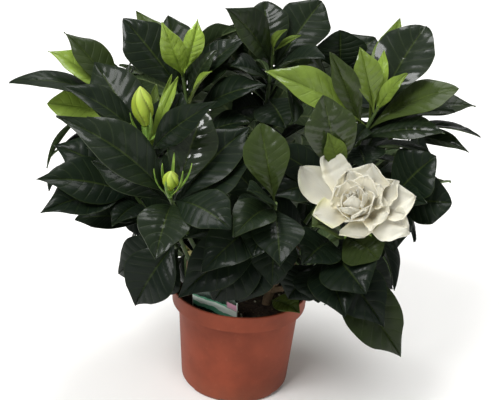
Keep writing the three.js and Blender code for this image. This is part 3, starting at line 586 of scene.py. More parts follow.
class Bend(Line):
    """A centripetal curve through points"""

    def __init__(self, *points):
        self.points = [Vector(p) for p in points]

    def point(self, t):
        p = self.points
        spans = len(p) - 1
        i = min(int(spans * t), spans - 1)
        weight = spans * t - i
        before = p[i - 1] if i > 0 else 2 * p[0] - p[1]
        after = p[i + 2] if i + 2 <= spans else 2 * p[-1] - p[-2]
        a, b, c = (
            (q - r).length_squared ** 0.25
            for q, r in ((before, p[i]), (p[i], p[i + 1]), (p[i + 1], after))
        )
        leave = (p[i] - before) / a - (p[i + 1] - before) / (a + b) + (p[i + 1] - p[i]) / b
        reach = (p[i + 1] - p[i]) / b - (after - p[i]) / (b + c) + (after - p[i + 1]) / c
        leave, reach = leave * b, reach * b
        bend = 3 * (p[i + 1] - p[i]) - 2 * leave - reach
        turn = 2 * (p[i] - p[i + 1]) + leave + reach
        return p[i] + leave * weight + bend * weight**2 + turn * weight**3


class Stretch(Line):
    """The part of a line between two shares of it"""

    def __init__(self, line, start, end):
        self.line, self.start, self.end = line, start, end

    def point(self, t):
        return self.line.at(self.start + (self.end - self.start) * t)


class Straight(Line):
    def __init__(self, start, end):
        self.start, self.end = start, end

    def point(self, t):
        return self.start.lerp(self.end, t)


# Blades: leaves, petals and calyx lobes

LEAF_STATIONS = (0.26, WIDEST, 0.81, 1)
PLAIN_STATIONS = (0.36, 0.72, 1)
SMALL_LEAF = 44
LEAF_OUTLINE = (0.07, 1.18, 1.1)
PETAL_OUTLINE = (0.0, 1.75, 0.55)
LOBE_OUTLINE = (0.0, 0.8, 0.8)
POINT_BELLY = 0.3
LEAF_POINT = 0.25
PETAL_POINT = 0.3


def pointed(outline, point, sharpening):
    """A blade's outline with a sharper tip, or a blunter one below 0"""
    petiole, belly, tip = outline
    return petiole, belly - POINT_BELLY * point, tip + sharpening * point


class Blade:
    """A leaf, a petal or a calyx lobe, which bends and folds along one line"""

    fold, wave, phase, roll = 0.3, 0.0, 0.0, 0.0
    curl, ruffle, frill, soft = 0.0, 1.0, 0.0, False
    tone, shine, seed, plain = 0.0, 0.0, 0, False
    thickness, root = LEAF_THICKNESS, PETIOLE_RADIUS
    outline, stations = LEAF_OUTLINE, LEAF_STATIONS

    def __init__(self, base, tip, face, width, arch, **options):
        self.base, self.tip, self.width, self.arch = base, tip, width, arch
        for name, value in options.items():
            setattr(self, name, value)
        self.length = (tip - base).length
        self.forward = (tip - base) / self.length
        normal = square_to(self.forward, face)
        self.normal = Matrix.Rotation(math.radians(self.roll), 3, self.forward) @ normal
        self.across = self.forward.cross(self.normal)

    def half(self, t):
        """Half its width at a share of its length"""
        petiole, belly, point = self.outline
        s = max(0.0, (t - petiole) / (1 - petiole))
        swell = max(0.0, math.sin(math.pi * s**belly)) ** point
        return self.root + (self.width / 2 - self.root) * swell

    def place(self, place, t, half, lift=0.0):
        """Where a place from -1 to 1 across it lies, lifted off its surface"""
        slope = math.atan(4 * self.arch * (1 - 2 * t))
        local = self.normal * math.cos(slope) - self.forward * math.sin(slope)
        lift += half * (place**2 if self.soft else abs(place)) * math.sin(self.fold)
        lift += abs(place) * self.wave * math.sin(self.phase + 9 * t + 2 * place)
        middle = self.base + self.forward * (self.length * t)
        middle += self.normal * (4 * self.arch * self.length * t * (1 - t))
        return middle + self.across * (place * half * math.cos(self.fold)) + local * lift

    def corners(self):
        """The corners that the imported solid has, past its root"""
        return [
            self.place(place, t, self.half(t), side * self.thickness / 2)
            for t in self.stations
            for place in ((0,) if t == 1 else (-1, 0, 1))
            for side in (-1, 1)
        ]


class Solid:
    """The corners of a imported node, which a blade of it is found by"""

    NEAR = 0.06
    ENOUGH = 0.5

    def __init__(self, name):
        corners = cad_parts[name].data.vertices
        self.tree = kdtree.KDTree(len(corners))
        for corner in corners:
            self.tree.insert(corner.co * 1000, corner.index)
        self.tree.balance()

    def holds(self, blade):
        corners = blade.corners()
        found = sum(self.tree.find(corner)[2] < self.NEAR for corner in corners)
        return found / len(corners) > self.ENOUGH


# The plant's plan: its stems, and each leaf where the solids have it


def trunk_line(cutting):
    foot = CUTTINGS[cutting]["foot"]
    return Bend((*foot, SOIL_TOP - HOLE_DEPTH), (*foot, SOIL_TOP), CUTTINGS[cutting]["top"])


def root_of(line, at, tip):
    middle = line.at(at)
    return middle + square_to(line.way(at), tip - middle) * ROOT_OFFSET


class Shoot:
    """A green shoot with its leaves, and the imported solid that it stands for"""

    def __init__(self, name, line, radius):
        self.name, self.line, self.radius = name, line, radius
        self.young = radius == YOUNG_RADIUS
        self.leaves = []
        self.solid = Solid(f"shoot_{name}")


def plan_stems():
    """The shoots by name, and the woody branches with the cutting that each grows from"""
    shoots, branches = {}, []
    steps = Line.DIVISIONS
    for row in rows(SHOOTS):
        wood = spot_of(row, "wood")
        fork = trunk_line(row["cutting"]).at(row["fork"])
        line = Bend(fork, wood, spot_of(row, "bend"), spot_of(row, "head"))
        end = min(range(steps + 1), key=lambda i: (line.at(i / steps) - wood).length) / steps
        branches.append((row["cutting"], Stretch(line, 0, end)))
        green = Stretch(line, end + GAP / line.lengths()[-1], 1)
        shoots[row["name"]] = Shoot(row["name"], green, SHOOT_RADIUS)
    for row in rows(YOUNG):
        parent = shoots[row["on"]].line
        way = parent.way(1)
        foot = parent.at(1) + way * GAP
        line = Straight(foot, foot + way * row["length"])
        shoots[row["name"]] = Shoot(row["name"], line, YOUNG_RADIUS)
    return shoots, branches


def leaf_waves(draw):
    waves = {"fold": draw(*FOLDS), "wave": draw(*WAVES), "phase": draw(*ANY_PHASE)}
    return {**waves, "frill": LEAF_FRILL}


def find_seen_leaf(shoot, row, draw):
    """A leaf of the photograph, turned and moved as its solid was to find room"""
    lift = math.radians(row["face"])
    face = Vector((0, -math.cos(lift), math.sin(lift)))
    waves = leaf_waves(draw)
    stations = PLAIN_STATIONS if row["width"] < SMALL_LEAF else LEAF_STATIONS
    tries = [(turn, change) for turn in ROLL_TRIES for change in DEPTH_TRIES]
    for turn, change in (*tries, (0, 0)):
        tip = seen(row["px"], row["py"], row["depth"] + change)
        leaf = Blade(
            root_of(shoot.line, row["at"], tip), tip, face, row["width"], row["arch"],
            roll=row["roll"] + turn, stations=stations,
            tone=row["tone"], shine=row["shine"], **waves,
        )
        if shoot.solid.holds(leaf):
            break
    leaf.outline = pointed(LEAF_OUTLINE, row["point"], LEAF_POINT)
    return leaf


def find_whorl_leaf(shoot, row, whorl, place, draw):
    """A leaf behind, drawn by its whorl's rule until it is one that the solid holds"""
    share = whorl / (row["whorls"] - 1) if row["whorls"] > 1 else 0
    for _ in range(WHORL_TRIES):
        at = row["low"] + (row["high"] - row["low"]) * share
        at = min(at + draw(-WHORL_SPREAD, WHORL_SPREAD), WHORL_LAST)
        part = (place + (0.75 if whorl % 2 else 0.25)) / row["each"]
        turn = row["from"] + (row["to"] - row["from"]) * part
        turn = math.radians(turn + draw(-WHORL_TURN, WHORL_TURN))
        pitch = row["pitch_low"] + (row["pitch_high"] - row["pitch_low"]) * share
        pitch = math.radians(pitch + draw(-WHORL_PITCH, WHORL_PITCH))
        length = row["length"] * draw(*WHORL_LENGTHS)
        width = length * draw(*SLIMNESS)
        roll = draw(-WHORL_ROLL, WHORL_ROLL)
        way = Vector((
            math.cos(turn) * math.cos(pitch),
            math.sin(turn) * math.cos(pitch),
            math.sin(pitch),
        ))
        tip = shoot.line.at(at) + way * length
        leaf = Blade(
            root_of(shoot.line, at, tip), tip, outwards(tip, *WHORL_FACE), width,
            draw(*ARCHES), roll=roll, stations=PLAIN_STATIONS, **leaf_waves(draw),
        )
        if shoot.solid.holds(leaf):
            leaf.tone = HIDDEN_TONE * (0.6 + 0.8 * (leaf.phase % 1))
            leaf.plain = True
            return leaf
    return None


def plan_leaves(shoots):
    draw = Lottery(SEEN_SEED).draw
    for row in rows(LEAVES):
        shoot = shoots[row["shoot"]]
        shoot.leaves.append(find_seen_leaf(shoot, row, draw))
    draw = Lottery(WHORL_SEED).draw
    for row in rows(WHORLS):
        shoot = shoots[row["shoot"]]
        for whorl in range(int(row["whorls"])):
            for place in range(int(row["each"])):
                leaf = find_whorl_leaf(shoot, row, whorl, place, draw)
                if leaf:
                    shoot.leaves.append(leaf)


# Leaves that close the holes which the crown would be seen through


def pixel_of(place):
    """The pixel of the photograph at which a place shows"""
    way = place - EYE
    distance = way.y * math.cos(EYE_PITCH) - way.z * math.sin(EYE_PITCH)
    rise = EYE_SCALE * (way.y * math.sin(EYE_PITCH) + way.z * math.cos(EYE_PITCH)) / distance
    across = EYE_SCALE * way.x / distance
    return (
        PHOTO_SIZE[0] / 2 + across * math.cos(EYE_LEAN) + rise * math.sin(EYE_LEAN),
        PHOTO_SIZE[1] / 2 + across * math.sin(EYE_LEAN) - rise * math.cos(EYE_LEAN),
    )


foliage_outline = [(row["px"], row["py"]) for row in rows(OUTLINE)]


def in_outline(place):
    """Whether a place shows inside the photograph's foliage, or behind the twig's window"""
    px, py = pixel_of(place)
    left, top, right, bottom = TWIG_WINDOW
    if place.y > TWIG_DEPTH and left < px < right and top < py < bottom:
        return True
    inside = False
    following = foliage_outline[1:] + foliage_outline[:1]
    for (ax, ay), (bx, by) in zip(foliage_outline, following):
        if (ay > py) != (by > py) and px < ax + (bx - ax) * (py - ay) / (by - ay):
            inside = not inside
    return inside


def in_crown(place):
    parts = ((place[i] - CROWN_MIDDLE[i]) / CROWN_REACH[i] for i in range(3))
    return sum(part**2 for part in parts) < 1


def patch(blade):
    """A blade's rough surface, for tests of what meets or hides what"""
    corners, faces = [], []
    for i in range(PATCH_STEPS + 1):
        t = i / PATCH_STEPS
        half = blade.half(t) if t < 1 else PATCH_TIP
        corners += [blade.place(place, t, half) for place in (-1, 0, 1)]
    for a in range(0, 3 * PATCH_STEPS, 3):
        faces += [(a, a + 1, a + 4, a + 3), (a + 1, a + 2, a + 5, a + 4)]
    return corners, faces


def rough_tree(leaf):
    """The surface of a leaf past its root, which may touch its shoot's other roots"""
    outer = copy(leaf)
    outer.base = leaf.place(0, OUTER_START, 1)
    outer.length = leaf.length * (1 - OUTER_START)
    return bvhtree.BVHTree.FromPolygons(*patch(outer))


class Thicket:
    """Surfaces that a new leaf mustn't cross and that a ray may meet"""

    def __init__(self, blades):
        corners, faces = [], []
        for blade in blades:
            more, around = patch(blade)
            faces += [tuple(i + len(corners) for i in face) for face in around]
            corners += more
        self.trees = [bvhtree.BVHTree.FromPolygons(corners, faces)]

    def add(self, tree):
        self.trees.append(tree)

    def meets(self, tree):
        return any(own.overlap(tree) for own in self.trees)

    def stops(self, start, way, reach):
        return any(own.ray_cast(start, way, reach)[0] for own in self.trees)


def closing_spots(draw):
    """Eyes, each with a place in the crown that it might look straight through"""
    for step in HOLE_STEPS:
        for py in range(HOLE_TOP, HOLE_FOOT, step):
            for px in range(HOLE_LEFT, HOLE_RIGHT, step):
                yield EYE, seen(px + draw(-1, 1), py + draw(-1, 1), draw(*HOLE_DEPTHS))
    for i in range(SIDE_SPOTS):
        parts = (
            CROWN_MIDDLE[k] + CROWN_REACH[k] * draw(-SIDE_SHARE, SIDE_SHARE) for k in range(3)
        )
        yield EYES[i % len(EYES)], Vector(parts)


def hides_seen(leaf, blocks, shown):
    """Whether a leaf would cover one that the photograph shows"""
    for place, t in COVER_SPOTS:
        spot = leaf.place(place, t, leaf.half(t))
        way = spot - EYE
        reach = way.length
        way.normalize()
        open_to_it = not blocks.stops(EYE, way, reach - COVER_GAP)
        if open_to_it and shown.stops(spot + way * COVER_GAP, way, COVER_SIGHT):
            return True
    return False


def draw_filler(growers, spot, draw):
    """A leaf from a shoot near a place, whose blade passes through the place"""
    nearest, farthest = FILLER_REACH
    near = [grower for grower in growers if nearest < (grower[2] - spot).length < farthest]
    if not near:
        return None
    shoot, at, root = near[int(draw(0, len(near) - 0.001))]
    share, arch = draw(*FILLER_SHARES), draw(*ARCHES)
    length = (spot - root).length / share
    tip = root + (spot - UP * (arch * length) - root) / share
    slope = (tip.z - root.z) / (tip - root).length
    shortest, longest = FILLER_LENGTHS
    falling, rising = FILLER_SLOPES
    if not shortest < length < longest or not falling < slope < rising:
        return None
    face = outwards(tip, FILLER_FACE_OUT, draw(*FILLER_FACE_UP))
    leaf = Blade(
        root_of(shoot.line, at, tip), tip, face, length * draw(*FILLER_SLIMNESS), arch,
        roll=draw(-FILLER_ROLL, FILLER_ROLL), plain=True,
        tone=HIDDEN_TONE * draw(*FILLER_TONES), **leaf_waves(draw),
    )
    leaf.shoot = shoot
    return leaf


def has_room(leaf, thicket, front):
    """Whether a leaf stays in the crown, crosses no other and hides none of the photograph's"""
    sides = [leaf.place(side, WIDEST, leaf.width / 2) for side in (-1, 1)]
    if leaf.tip.z < LOWEST_FILLER or not in_crown(leaf.tip):
        return False
    if not all(map(in_outline, (leaf.tip, *sides))):
        return False
    return not thicket.meets(rough_tree(leaf)) and not hides_seen(leaf, thicket, front)


def plan_fillers(shoots, shown):
    """Draws leaves for the holes, seen from the photograph's side and from the others"""
    growers = [
        (shoot, at, shoot.line.at(at))
        for shoot in shoots.values() if not shoot.young for at in GROWTH_PLACES
    ]
    leaves = [leaf for shoot in shoots.values() for leaf in shoot.leaves]
    thicket = Thicket(leaves + shown)
    front = Thicket([leaf for leaf in leaves if not leaf.plain] + shown)
    draw = Lottery(FILLER_SEED).draw
    placed = 0
    for eye, spot in closing_spots(draw):
        if not in_crown(spot) or not in_outline(spot):
            continue
        if thicket.stops(eye, (spot - eye).normalized(), SIGHT):
            continue
        for _ in range(FILLER_TRIES):
            leaf = draw_filler(growers, spot, draw)
            if leaf and has_room(leaf, thicket, front):
                thicket.add(rough_tree(leaf))
                leaf.shoot.leaves.append(leaf)
                placed += 1
                break
        if placed == FILLERS:
            break


shoots, branches = plan_stems()
plan_leaves(shoots)


# Meshes


def kept(layers, name):
    """A value that a mesh keeps for each vertex"""
    return layers.get(name) or layers.new(name)


def sheet(bm, blade, long_steps, wide_steps, relief):
    """Adds a blade as one curved sheet, with its own place and tone kept in it"""
    own = kept(bm.verts.layers.float_vector, "blade")
    shine = kept(bm.verts.layers.float, "shine")
    made = bmesh.ops.create_grid(bm, x_segments=wide_steps, y_segments=long_steps, size=1)
    for vert in made["verts"]:
        place, t = vert.co.x, (vert.co.y + 1) / 2
        half = blade.half(t) - blade.root * t**6
        frill = blade.frill * math.sin(FRILL_WAVES * t + blade.phase)
        half *= 1 + frill * smooth(0.3, 0.6, t)
        if blade.outline[0] and t > DRIP_TIP:
            bend = math.sin(math.pi * (t - DRIP_TIP) / (1 - DRIP_TIP))
            half *= 1 - DRIP_NARROWING * bend
        vert[own], vert[shine] = (place, t, blade.tone), blade.shine
        vert.co = blade.place(place, t, half, relief(blade, place, t, half))
    ends = [vert for vert in made["verts"] if vert[own].y > 0.999]
    bmesh.ops.remove_doubles(bm, verts=ends, dist=0.2)


def tube(bm, line, radius, steps, sides, slot=0):
    """Adds a round stem along a line, closed at both ends, of a radius that may change"""
    own = kept(bm.verts.layers.float_vector, "blade")
    lean = line.at(1) - line.at(0)
    across = min((RIGHT, Vector((0, 1, 0))), key=lambda axis: abs(lean.dot(axis)))
    made = bmesh.ops.create_grid(bm, x_segments=sides, y_segments=steps + 2, size=1)
    rings = {}
    for vert in made["verts"]:
        ring = round((vert.co.y + 1) / 2 * (steps + 2))
        t = min(1.0, max(0.0, (ring - 1) / steps))
        if ring not in rings:
            way = line.way(t)
            side = square_to(way, across)
            rings[ring] = line.at(t), side, way.cross(side)
        middle, side, other = rings[ring]
        angle = math.pi * (vert.co.x + 1)
        reach = 0.0 if ring in (0, steps + 2) else radius(t, angle)
        vert[own] = (0, t, 0)
        vert.co = middle + side * (reach * math.cos(angle)) + other * (reach * math.sin(angle))
    for face in {face for vert in made["verts"] for face in vert.link_faces}:
        face.material_index = slot
    bmesh.ops.remove_doubles(bm, verts=made["verts"], dist=0.002)


def lathe(bm, profile, steps):
    """Adds a profile of radii and heights, turned once round the upright axis"""
    verts = [bm.verts.new((radius, 0, height)) for radius, height in profile]
    edges = [bm.edges.new(pair) for pair in zip(verts, verts[1:])]
    bmesh.ops.spin(
        bm, geom=verts + edges, cent=(0, 0, 0), axis=(0, 0, 1),
        angle=2 * math.pi, steps=steps, use_merge=True, use_duplicate=False,
    )
    bmesh.ops.remove_doubles(bm, verts=bm.verts[:], dist=1e-3)
    bmesh.ops.recalc_face_normals(bm, faces=bm.faces[:])


def lay(geometry, foot, axis):
    """Turns upright geometry to an axis and moves it to its foot"""
    turn = UP.rotation_difference(axis).to_matrix()
    for vert in geometry:
        vert.co = foot + turn @ vert.co


def join(bm, other):
    """Moves another mesh's shapes into this one"""
    held = bpy.data.meshes.new("held")
    other.to_mesh(held)
    other.free()
    bm.from_mesh(held)
    bpy.data.meshes.remove(held)


def thicken(bm, thickness, slot):
    """Gives the sheets in a mesh their wall, with a slot of its own for the far side"""
    mesh = bpy.data.meshes.new("sheet")
    bm.to_mesh(mesh)
    bm.clear()
    holder = bpy.data.objects.new("sheet", mesh)
    bpy.context.scene.collection.objects.link(holder)
    for _ in range(slot + 1):
        mesh.materials.append(None)
    shell = holder.modifiers.new("Thickness", "SOLIDIFY")
    shell.thickness = thickness
    shell.offset = 0
    shell.use_even_offset = False
    shell.material_offset = slot
    graph = bpy.context.evaluated_depsgraph_get()
    solid = bpy.data.meshes.new_from_object(holder.evaluated_get(graph))
    bm.from_mesh(solid)
    bpy.data.objects.remove(holder)
    bpy.data.meshes.remove(mesh)
    bpy.data.meshes.remove(solid)


def add_piece(name, bm, looks, node, sharp=60):
    """Finishes a mesh as a piece in metres that rides the root and stands for a node"""
    bm.transform(Matrix.Scale(0.001, 4))
    mesh = bpy.data.meshes.new(name)
    bm.to_mesh(mesh)
    bm.free()
    for look in looks:
        mesh.materials.append(look)
    mesh.shade_smooth()
    mesh.set_sharp_from_angle(angle=math.radians(sharp))
    piece = bpy.data.objects.new(name, mesh)
    bpy.context.scene.collection.objects.link(piece)
    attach(piece, "root")
    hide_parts(node)


# Relief of the blades


def plain(blade, place, t, half):
    return 0.0


def quilted(depth):
    """The quilting between a leaf's side veins and the groove of its midrib"""

    def relief(blade, place, t, half):
        edge = abs(place)
        s = max(0.0, (t - LEAF_OUTLINE[0]) / (1 - LEAF_OUTLINE[0]))
        phase = s * VEIN_PAIRS - edge * VEIN_SWEEP
        quilt = math.sin(math.pi * (phase % 1)) ** 0.7 * (1 + blade.shine)
        fade = smooth(0, 0.25, edge) * (1 - smooth(0.7, 1, edge))
        fade *= smooth(0, 0.12, s) * (1 - smooth(0.8, 1, s))
        groove = 0.5 * math.exp(-((place * half / 1.3) ** 2)) * smooth(0, 0.2, s)
        spot = Vector((place * half / 9, t * blade.length / 12, blade.phase * 7))
        swell = 0.8 * field(spot)
        rise = depth * quilt * fade * blade.width / 40 + swell * fade
        return rise - groove - 0.05 * half * edge**3

    return relief


def ruffled(depth):
    """A petal's ruffled margin, its rolled tip and the soft hollows along it"""

    def relief(blade, place, t, half):
        draw = Lottery(blade.seed * 977 + 13).draw
        a, b, c = draw(*ANY_PHASE), draw(*ANY_PHASE), draw(-1, 1)
        edge = abs(place)
        outer = max(smooth(0.4, 1, t), smooth(0.5, 1, edge) * smooth(0.25, 0.7, t))
        wave = 0.8 * math.sin(6 * place + a) + 0.4 * math.sin(9 * place * t + b)
        wave += edge**2 * (0.9 * math.sin(13 * t + 3 * place + a) + 0.5 * math.sin(27 * t + b))
        rolled = -blade.curl * smooth(0.62, 1, t) ** 2 - 1.4 * place**4 * outer
        hollow = c * math.cos(2.2 * place) * math.sin(math.pi * t)
        spot = Vector((1.1 * place + a, 2.1 * t + b, blade.seed))
        crumple = 2.6 * field(spot) * smooth(0.1, 0.5, t) + 0.8 * field(spot * 2.3) * outer
        if blade.curl > 4:
            hollow -= 2.2 * math.exp(-(((t - 0.73 - 0.04 * place) / 0.035) ** 2))
        rise = depth * blade.ruffle * (wave * outer + 0.7 * crumple) + rolled + hollow
        return (blade.length / 50) ** 0.35 * rise

    return relief


# Shader sums


class Socket:
    """A shader socket that takes part in sums written in Python"""

    def __init__(self, look, socket):
        self.look, self.socket = look, socket

    def sum(self, operation, *values):
        settings = {"operation": operation}
        return self.look.node("ShaderNodeMath", settings, dict(enumerate(values)))

    def __add__(self, other):
        return self.sum("ADD", self, other)

    def __radd__(self, other):
        return self.sum("ADD", other, self)

    def __sub__(self, other):
        return self.sum("SUBTRACT", self, other)

    def __rsub__(self, other):
        return self.sum("SUBTRACT", other, self)

    def __mul__(self, other):
        return self.sum("MULTIPLY", self, other)

    def __rmul__(self, other):
        return self.sum("MULTIPLY", other, self)

    def __truediv__(self, other):
        return self.sum("DIVIDE", self, other)

    def __abs__(self):
        return self.sum("ABSOLUTE", self)


class Look:
    """A material built node by node round one shader"""

    def __init__(self, name, constants):
        self.material = bpy.data.materials.new(name)
        self.material.use_nodes = True
        self.tree = self.material.node_tree
        self.shader = self.tree.nodes["Principled BSDF"]
        for key, value in constants.items():
            self.put(self.shader, key, value)

    def find(self, sockets, key):
        used = [socket for socket in sockets if socket.enabled]
        if isinstance(key, int):
            return used[key]
        return next(socket for socket in used if key in (socket.identifier, socket.name))

    def put(self, node, key, value):
        socket = self.find(node.inputs, key)
        if isinstance(value, Socket):
            self.tree.links.new(value.socket, socket)
        elif socket.type == "RGBA":
            socket.default_value = (*value[:3], 1)
        else:
            socket.default_value = value

    def node(self, kind, settings=None, inputs=None, output=0):
        node = self.tree.nodes.new(kind)
        for key, value in (settings or {}).items():
            if key == "stops":
                ramp = node.color_ramp.elements
                while len(ramp) < len(value):
                    ramp.new(0.5)
                for element, (position, colour) in zip(ramp, value):
                    element.position = position
                    element.color = (*colour, 1)
            else:
                setattr(node, key, value)
        for key, value in (inputs or {}).items():
            self.put(node, key, value)
        return Socket(self, self.find(node.outputs, output))

    def places(self):
        return self.node("ShaderNodeTexCoord", output="Object")

    def own(self, name):
        """The three parts of a vector that the mesh keeps"""
        kept = self.node("ShaderNodeAttribute", {"attribute_name": name}, output="Vector")
        parts = self.node("ShaderNodeSeparateXYZ", None, {"Vector": kept})
        outputs = parts.socket.node.outputs
        return [Socket(self, outputs[i]) for i in range(3)]

    def noise(self, scale, detail=3.0, roughness=0.55, stretch=None):
        places = self.places()
        if stretch:
            places = self.node("ShaderNodeMapping", None, {"Vector": places, "Scale": stretch})
        inputs = {"Vector": places, "Scale": scale, "Detail": detail, "Roughness": roughness}
        return self.node("ShaderNodeTexNoise", None, inputs)

    def cells(self, scale):
        return self.node("ShaderNodeTexVoronoi", None, {"Vector": self.places(), "Scale": scale})

    def height(self):
        return self.node("ShaderNodeSeparateXYZ", None, {"Vector": self.places()}, "Z")

    def step(self, value, low, high, start=0.0, end=1.0):
        inputs = {
            "Value": value, "From Min": low, "From Max": high, "To Min": start, "To Max": end,
        }
        return self.node("ShaderNodeMapRange", {"interpolation_type": "SMOOTHSTEP"}, inputs)

    def mix(self, share, first, second):
        inputs = {"Factor_Float": share, "A_Color": first, "B_Color": second}
        settings = {"data_type": "RGBA"}
        return self.node("ShaderNodeMix", settings, inputs, "Result_Color")

    def ramp(self, value, stops):
        return self.node("ShaderNodeValToRGB", {"stops": stops}, {"Fac": value})

    def done(self, colour, roughness, relief=None, coat=None):
        """Feeds the shader. The relief is a height, its distance and its strength"""
        links = {"Base Color": colour, "Roughness": roughness}
        if relief:
            bump = dict(zip(("Height", "Distance", "Strength"), relief))
            links["Normal"] = self.node("ShaderNodeBump", None, bump)
        if coat:
            links["Coat Weight"] = coat
        for key, value in links.items():
            self.put(self.shader, key, value)
        return self.material

    def grained(self, grain, shades, roughness, swing, distance, strength):
        """Finishes a surface whose colour, gloss and relief all follow one grain"""
        return self.done(
            self.ramp(grain, shades), roughness + grain * swing, (grain, distance, strength)
        )


def linear(colour):
    """A colour as a screen shows it, from 0 to 255, as the shader takes it"""
    return tuple(
        ((c / 255 + 0.055) / 1.055) ** 2.4 if c > 10 else c / 255 / 12.92 for c in colour
    )


def times(colour, share):
    """A colour made darker, or lighter above 1"""
    return tuple(min(1, c * share) for c in colour)


# Shapes of the pieces


def wall_line(radius, height, end_radius, end_height, count):
    """Points up or down a straight wall, both ends included"""
    shares = [i / (count - 1) for i in range(count)]
    return [
        (radius + (end_radius - radius) * share, height + (end_height - height) * share)
        for share in shares
    ]


def cut_notches(bm):
    """Raises the pot's foot over each drainage notch"""
    for i in range(NOTCH_COUNT):
        turn = 2 * math.pi * i / NOTCH_COUNT - math.pi / 2
        out = Vector((math.cos(turn), math.sin(turn), 0))
        side = Vector((-out.y, out.x, 0))
        for vert in bm.verts:
            if vert.co.dot(out) < NOTCH_REACH - 4 or vert.co.z > 12:
                continue
            across = abs(vert.co.dot(side))
            inside = 1 - smooth(NOTCH_WIDTH / 2 - 1.5, NOTCH_WIDTH / 2 + 0.5, across)
            lifted = max(vert.co.z, NOTCH_HEIGHT * (1 - vert.co.z / 24))
            vert.co.z += (lifted - vert.co.z) * inside


def lumps_at(x, y, height):
    """The soil's clods over its level, at a place in millimetres"""
    coarse = field(Vector((x / 11, y / 11, 3.7)))
    fine = field(Vector((x / 3.6, y / 3.6, 9.1)))
    return height * (0.62 * coarse + 0.38 * fine)


BED_STEPS = 110
BED_WALLS = (
    (BAND_FOOT + 3.6, SOIL_RADIUS), (BAND_FOOT + 1.3, SOIL_FOOT_RADIUS),
    (BAND_FOOT - 1, SOIL_FOOT_RADIUS - 0.1), (9, BASE_RADIUS + 1.9), (2.8, BASE_RADIUS - 1),
)


def open_rim(bm):
    return [edge for edge in bm.edges if edge.is_boundary]


def build_bed(bm, height):
    """The soil: a square grid drawn round, with its clods, and walls down to the base"""
    made = bmesh.ops.create_grid(bm, x_segments=BED_STEPS, y_segments=BED_STEPS, size=1)
    for vert in made["verts"]:
        x, y = vert.co.x, vert.co.y
        square = max(abs(x), abs(y))
        shrink = square / math.hypot(x, y) if square else 0
        x, y = x * shrink * SOIL_RADIUS, y * shrink * SOIL_RADIUS
        vert.co = (x, y, SOIL_TOP + lumps_at(x, y, height))
    for foot, radius in BED_WALLS:
        ring = bmesh.ops.extrude_edge_only(bm, edges=open_rim(bm))["geom"]
        for vert in ring:
            if isinstance(vert, bmesh.types.BMVert):
                vert.co = outwards(vert.co, radius, foot)
    bmesh.ops.contextual_create(bm, geom=open_rim(bm))
    bmesh.ops.recalc_face_normals(bm, faces=bm.faces[:])


def scatter(bm, count, sizes, slot, seed):
    """Strews small crumbs over the soil, half sunk in it"""
    draw = Lottery(seed).draw
    for _ in range(count):
        turn, reach = draw(0, 2 * math.pi), SOIL_RADIUS * math.sqrt(draw(0.02, 0.9))
        x, y, size = reach * math.cos(turn), reach * math.sin(turn), draw(*sizes)
        crumb = bmesh.ops.create_icosphere(bm, subdivisions=1, radius=size)["verts"]
        stretch = Vector((draw(0.7, 1.3), draw(0.7, 1.3), draw(0.5, 0.8)))
        foot = Vector((x, y, SOIL_TOP + lumps_at(x, y, 2.2) + 0.2 * size))
        for vert in crumb:
            vert.co = foot + vert.co * stretch * draw(0.85, 1.15)
        for face in {face for vert in crumb for face in vert.link_faces}:
            face.material_index = slot


def build_card(bm):
    """A thin card with rounded corners, in the place of its solid"""
    own = kept(bm.verts.layers.float_vector, "blade")
    made = bmesh.ops.create_grid(bm, x_segments=1, y_segments=1, size=1)
    for vert in made["verts"]:
        vert.co = (vert.co.x * LABEL_WIDTH / 2, vert.co.y * LABEL_HEIGHT / 2, 0)
    bmesh.ops.bevel(
        bm, geom=bm.verts[:], offset=LABEL_CORNER, offset_type="OFFSET", affect="VERTICES",
        segments=6, profile=0.5, material=-1,
    )
    bmesh.ops.solidify(bm, geom=bm.faces[:], thickness=LABEL_THICKNESS)
    low = min(vert.co.z for vert in bm.verts)
    lean = Matrix.Rotation(LABEL_TURN, 4, "Z") @ Matrix.Translation(LABEL_PLACE)
    lean = lean @ Matrix.Rotation(LABEL_LEAN, 4, "X")
    for vert in bm.verts:
        place = vert.co.copy()
        vert[own] = (2 * place.x / LABEL_WIDTH, 0.5 + place.y / LABEL_HEIGHT, 0)
        vert.co = lean @ Vector((place.x, place.y, place.z - low - LABEL_THICKNESS / 2))
    bmesh.ops.recalc_face_normals(bm, faces=bm.faces[:])


def knotty(radius, taper):
    """A bark radius that swells at joints and thins along its length"""

    def reach(t, angle):
        joints = max(0.0, math.cos(2 * math.pi * 7 * t)) ** 12
        ridges = 0.05 * math.sin(3 * angle + 5 * t) + 0.03 * math.sin(5 * angle - 11 * t)
        return radius * (1.04 - taper * 0.12 * t + 0.12 * joints + ridges)

    return reach


def tapered(radius):
    """A green stem's radius, which swells a little where leaves grow"""

    def reach(t, angle):
        joints = max(0.0, math.cos(2 * math.pi * 4 * t)) ** 10
        return radius * (1 - 0.12 * t + 0.1 * joints)

    return reach


def twig_line():
    return Bend((*TWIG_FOOT, SOIL_TOP - HOLE_DEPTH), (*TWIG_FOOT, SOIL_TOP), *TWIG_BENDS)


def add_leaf(bm, leaf, plant):
    leaf.thickness = plant.leaf_wall * 1000
    steps = (26, 8) if leaf.plain else (46, 12)
    sheet(bm, leaf, *steps, quilted(plant.quilting * 1000))


def calyx_place(row):
    """Where a calyx stands: its foot, its axis and the place that its tube ends at"""
    line = shoots[row["on"]].line
    axis = spot_of(row, "lean").normalized()
    foot = line.at(1) + line.way(1) * (GAP + CUP_GAP)
    return foot, axis, foot + axis * (row["tube"] + GAP)


